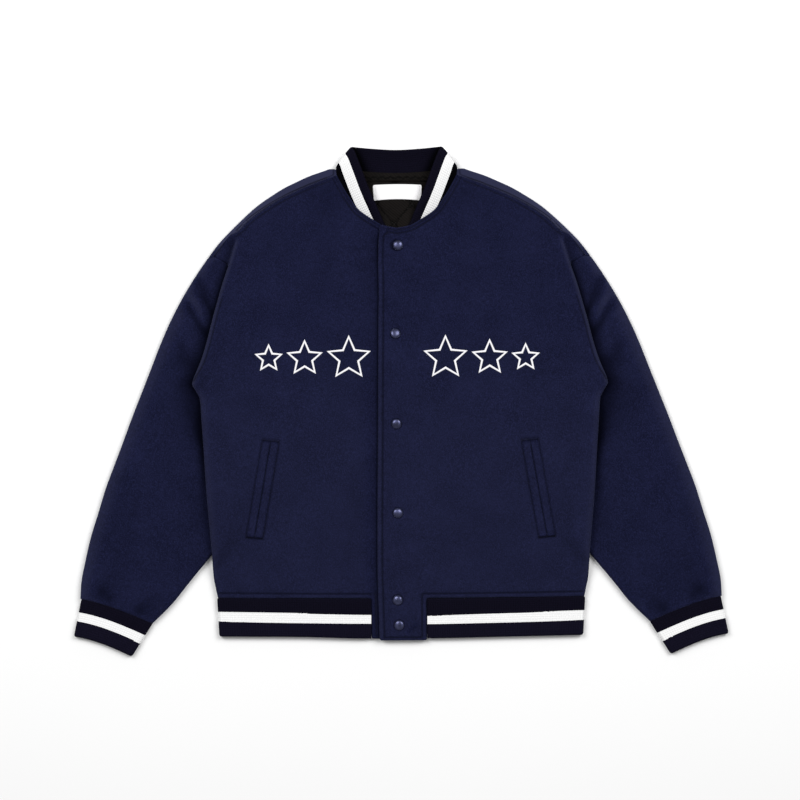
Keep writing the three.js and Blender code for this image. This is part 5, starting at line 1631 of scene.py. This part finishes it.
class JACKET_OT_stitching(JacketPiece, bpy.types.Operator):
    """Rows of topstitching along the placket, neckline, shoulders, armholes, pockets, hem and label"""

    bl_idname = "jacket.stitching"
    bl_label = "Topstitching"

    def topstitches(self, line, height):
        """A row of the jacket's own topstitches."""
        sizes = bpy.context.scene.jacket_sizes
        return stitches(line, height, sizes.stitch / MM, sizes.thread / MM / 2)

    def on_front(self, side, line):
        """Stitches on a front, from a line in its own places."""
        height = lambda x, y: front_top(side, x, y) + front_sewn(side, side * x, y) - 0.05
        return self.topstitches(np.asarray(line, float) * (side, 1), height)

    def on_shoulder(self, side):
        """Stitches on the strip of the back that comes over the top, where it is wide enough."""
        y = np.linspace(218, 324, 60)
        wide = OUTLINE(y) - BODY_TOP / 2 - SHOULDER_SEAM(y)
        line = np.stack([side * (SHOULDER_SEAM(y) + SEAM_GAP + STRIP_STITCH), y], 1)[wide > 5.5]
        return self.topstitches(line, lambda x, y: BODY_TOP - 0.3 + 0 * x)

    def on_label(self):
        """Stitches down both ends of the label."""
        ends = []
        for share in (-0.91, 0.91):
            x = LABEL["x"] + share * LABEL["half"] * 0.985
            height = lambda x, y: LABEL_REST + LABEL["thick"] + 0 * x - 0.05
            ends.append(stitches([(x, 292.0), (x, 311.5)], height, 2.2, 0.22))
        return ends

    def on_lining(self):
        """Stitches along the quilting's slanting lines."""
        quilting = []
        for k in range(-9, 10):
            for lean in (-1, 1):
                y = np.linspace(238, 315, 60)
                b = (y - LINING["cross"][1]) / LINING["down"]
                x = LINING["cross"][0] + (2 * k + lean * b) * LINING["across"]
                line = np.stack([x, y], 1)[np.abs(x) < 60]
                if len(line) > 6:
                    quilting.append(stitches(line, lambda x, y: lining_height(x, y) + 0.1, 2.6, 0.22))
        return quilting

    def execute(self, context):
        colours = context.scene.jacket_colours
        thread = thread_finish("navy_thread", colours.thread, 0.06)
        for side, label in ((-1, "right"), (1, "left")):
            lines = front_lines(side)
            if side < 0:
                lines[:2] = [line[line[:, 0] > 36] for line in lines[:2]]  # the rest is under the lap
            sewn(f"topstitch_front_{label}", [self.on_front(side, line) for line in lines], thread)
            sewn(f"topstitch_shoulder_{label}", [self.on_shoulder(side)], thread)
        white = thread_finish("white_thread", colours.label, 0.2)
        sewn("label_stitches", self.on_label(), white)
        dark = thread_finish("black_thread", colours.lining, 0.2)
        sewn("quilting_stitches", self.on_lining(), dark)
        return {"FINISHED"}


# Chest stars, of like colour and line as the trim: x from their middle, y, and outer radius.
STARS = [(70, 62, 31), (134, 62, 25), (186, 62, 19)]
STAR_MIDDLE = -4.0
STAR_DEPTH = 0.46  # inner radius over outer radius


def star_line(x, y, radius):
    """A star's outline with one point up, and its first corner again."""
    corner = np.arange(11)
    angle = np.radians(90) + corner * math.pi / 5
    reach = np.where(corner % 2 == 0, radius, radius * STAR_DEPTH)
    return np.stack([x + reach * np.cos(angle), y + reach * np.sin(angle)], 1)


def satin_ribbon(side, line, width, pitch):
    """A closed satin-stitched line, mitred at its corners, with a fine ridge for each pass of thread."""
    corners = line[:-1]
    run = np.roll(corners, -1, 0) - corners
    run /= np.linalg.norm(run, axis=1)[:, None]
    square = np.stack([-run[:, 1], run[:, 0]], 1)
    before = np.roll(square, 1, 0)
    mitre = before + square
    mitre /= (mitre * square).sum(1)[:, None]
    reach = np.linalg.norm(mitre, axis=1)[:, None]
    mitre *= np.minimum(1.0, 1.9 / reach)
    profile = np.array([-1, -0.86, -0.55, 0, 0.55, 0.86, 1]) * width / 2
    rise = np.array([-0.15, 0.42, 0.68, 0.78, 0.68, 0.42, -0.15])
    stations, offsets, ridges = [], [], []
    for k in range(len(corners)):
        nxt = (k + 1) % len(corners)
        length = np.linalg.norm(corners[nxt] - corners[k])
        count = 2 * max(2, int(round(length / pitch)))
        share = np.arange(count)[:, None] / count
        stations.append(mix(corners[k], corners[nxt], share))
        offsets.append(mix(mitre[k], mitre[nxt], share))
        ridges.append(np.arange(count) % 2)
    stations, offsets, ridge = np.vstack(stations), np.vstack(offsets), np.concatenate(ridges)
    points = []
    for off, up in zip(profile, rise):
        at = stations + offsets * off
        z = front_top(side, at[:, 0], at[:, 1]) + up + 0.12 * (ridge - 0.5) * (up > 0)
        points.append(np.column_stack([at, z]))
    points = np.stack(points, 1)
    n, m = points.shape[:2]
    i, j = np.meshgrid(np.arange(n), np.arange(m), indexing="ij")
    nxt, after = (i + 1) % n, (j + 1) % m
    quads = np.stack([i * m + j, nxt * m + j, nxt * m + after, i * m + after], -1).reshape(-1, 4)
    return points.reshape(-1, 3), quads


class JACKET_OT_stars(JacketPiece, bpy.types.Operator):
    """A straight row of outlined stars across the chest, in white satin stitch"""

    bl_idname = "jacket.stars"
    bl_label = "Chest stars"

    def execute(self, context):
        width = context.scene.jacket_sizes.outline / MM
        white = thread_finish("white_embroidery", context.scene.jacket_colours.embroidery, 0.25)
        for side, label in ((-1, "right"), (1, "left")):
            parts = []
            for x, y, radius in STARS:
                line = star_line(STAR_MIDDLE + side * x, y, radius)
                parts.append(satin_ribbon(side, line, width, 0.8))
            sewn(f"chest_stars_{label}", parts, white, neck=False)
        return {"FINISHED"}


# Stage.

PHOTO_SIZE = 800
PHOTO_SCALE = 1.45  # millimetres of jacket for each pixel
PHOTO_CENTRE = (-0.2, 1.2)
PHOTO_TURN = -0.28  # degrees that the camera is turned, because the jacket lies a little askew in the picture
LENS = 110.0
SENSOR = 36.0
SOFTBOX = {"place": (1.5, 1.1, 2.5), "size": (1.3, 1.7), "power": 58}  # one on each side, in metres and watts
SKY = 0.34  # strength of the white light from all round
FLOOR_HALF = 6.0
FLOOR_Z = -0.0002


class JACKET_OT_stage(JacketPiece, bpy.types.Operator):
    """Pale floor, soft studio light and the camera straight above"""

    bl_idname = "jacket.stage"
    bl_label = "Stage"

    def floor(self):
        """The floor that the cloth rests on."""
        mesh = bpy.data.meshes.new("cloth_floor")
        corners = [(x * FLOOR_HALF, y * FLOOR_HALF, FLOOR_Z) for x, y in ((-1, -1), (1, -1), (1, 1), (-1, 1))]
        mesh.from_pydata(corners, [], [(0, 1, 2, 3)])
        floor = bpy.data.objects.new("cloth_floor", mesh)
        bpy.context.scene.collection.objects.link(floor)
        floor.data.materials.append(floor_finish())

    def softbox(self, name, side):
        """A softbox on one side, turned to the jacket's middle."""
        data = bpy.data.lights.new(name, "AREA")
        data.shape, data.energy = "RECTANGLE", SOFTBOX["power"]
        data.size, data.size_y = SOFTBOX["size"]
        lamp = bpy.data.objects.new(name, data)
        x, y, z = np.array(SOFTBOX["place"]) * (side, 1, 1)
        lamp.location = (x, y, z)
        lamp.rotation_mode = "XYZ"
        lamp.rotation_euler = (math.atan2(math.hypot(x, y), z), 0, math.atan2(-x, y) + math.pi)
        bpy.context.scene.collection.objects.link(lamp)

    def execute(self, context):
        scene = context.scene
        self.floor()
        self.softbox("softbox_left", -1)
        self.softbox("softbox_right", 1)
        world = bpy.data.worlds.new("studio")
        world.use_nodes = True
        sky = world.node_tree.nodes["Background"].inputs
        sky["Color"].default_value = (1, 1, 1, 1)
        sky["Strength"].default_value = SKY
        scene.world = world
        view_width = PHOTO_SIZE * PHOTO_SCALE * MM
        distance = view_width * LENS / SENSOR
        data = bpy.data.cameras.new("camera")
        data.lens, data.sensor_width, data.sensor_fit = LENS, SENSOR, "HORIZONTAL"
        data.clip_start, data.clip_end = 0.1, 50
        camera = bpy.data.objects.new("camera", data)
        camera.location = (PHOTO_CENTRE[0] * MM, PHOTO_CENTRE[1] * MM, distance + BODY_TOP / 2 * MM)
        camera.rotation_euler = (0, 0, math.radians(PHOTO_TURN))
        scene.collection.objects.link(camera)
        scene.camera = camera
        scene.view_settings.view_transform = "Standard"
        scene.view_settings.look = "None"
        return {"FINISHED"}


class JACKET_PT_sidebar(bpy.types.Panel):
    """The jacket's pieces, sizes and colours"""

    bl_idname = "JACKET_PT_sidebar"
    bl_label = "Varsity jacket"
    bl_space_type = "VIEW_3D"
    bl_region_type = "UI"
    bl_category = "Jacket"

    def draw(self, context):
        for title, group in (("Sizes", context.scene.jacket_sizes), ("Colours", context.scene.jacket_colours)):
            box = self.layout.box()
            box.label(text=title)
            for name in group.__annotations__:
                box.prop(group, name)
        column = self.layout.column()
        for operator in OPERATORS:
            column.operator(operator.bl_idname)


OPERATORS = (JACKET_OT_stage, JACKET_OT_back, JACKET_OT_sleeves, JACKET_OT_fronts, JACKET_OT_pockets,
             JACKET_OT_collar, JACKET_OT_cuffs, JACKET_OT_hem_rib, JACKET_OT_neck_lining, JACKET_OT_snaps,
             JACKET_OT_stars, JACKET_OT_stitching)
CLASSES = (JACKET_PG_sizes, JACKET_PG_colours, *OPERATORS, JACKET_PT_sidebar)


def register():
    for cls in CLASSES:
        bpy.utils.register_class(cls)
    bpy.types.Scene.jacket_sizes = bpy.props.PointerProperty(type=JACKET_PG_sizes)
    bpy.types.Scene.jacket_colours = bpy.props.PointerProperty(type=JACKET_PG_colours)


def unregister():
    del bpy.types.Scene.jacket_colours
    del bpy.types.Scene.jacket_sizes
    for cls in reversed(CLASSES):
        bpy.utils.unregister_class(cls)


def main():
    register()
    for operator in OPERATORS:
        group, name = operator.bl_idname.split(".")
        getattr(getattr(bpy.ops, group), name)()


if __name__ == "__main__":
    main()
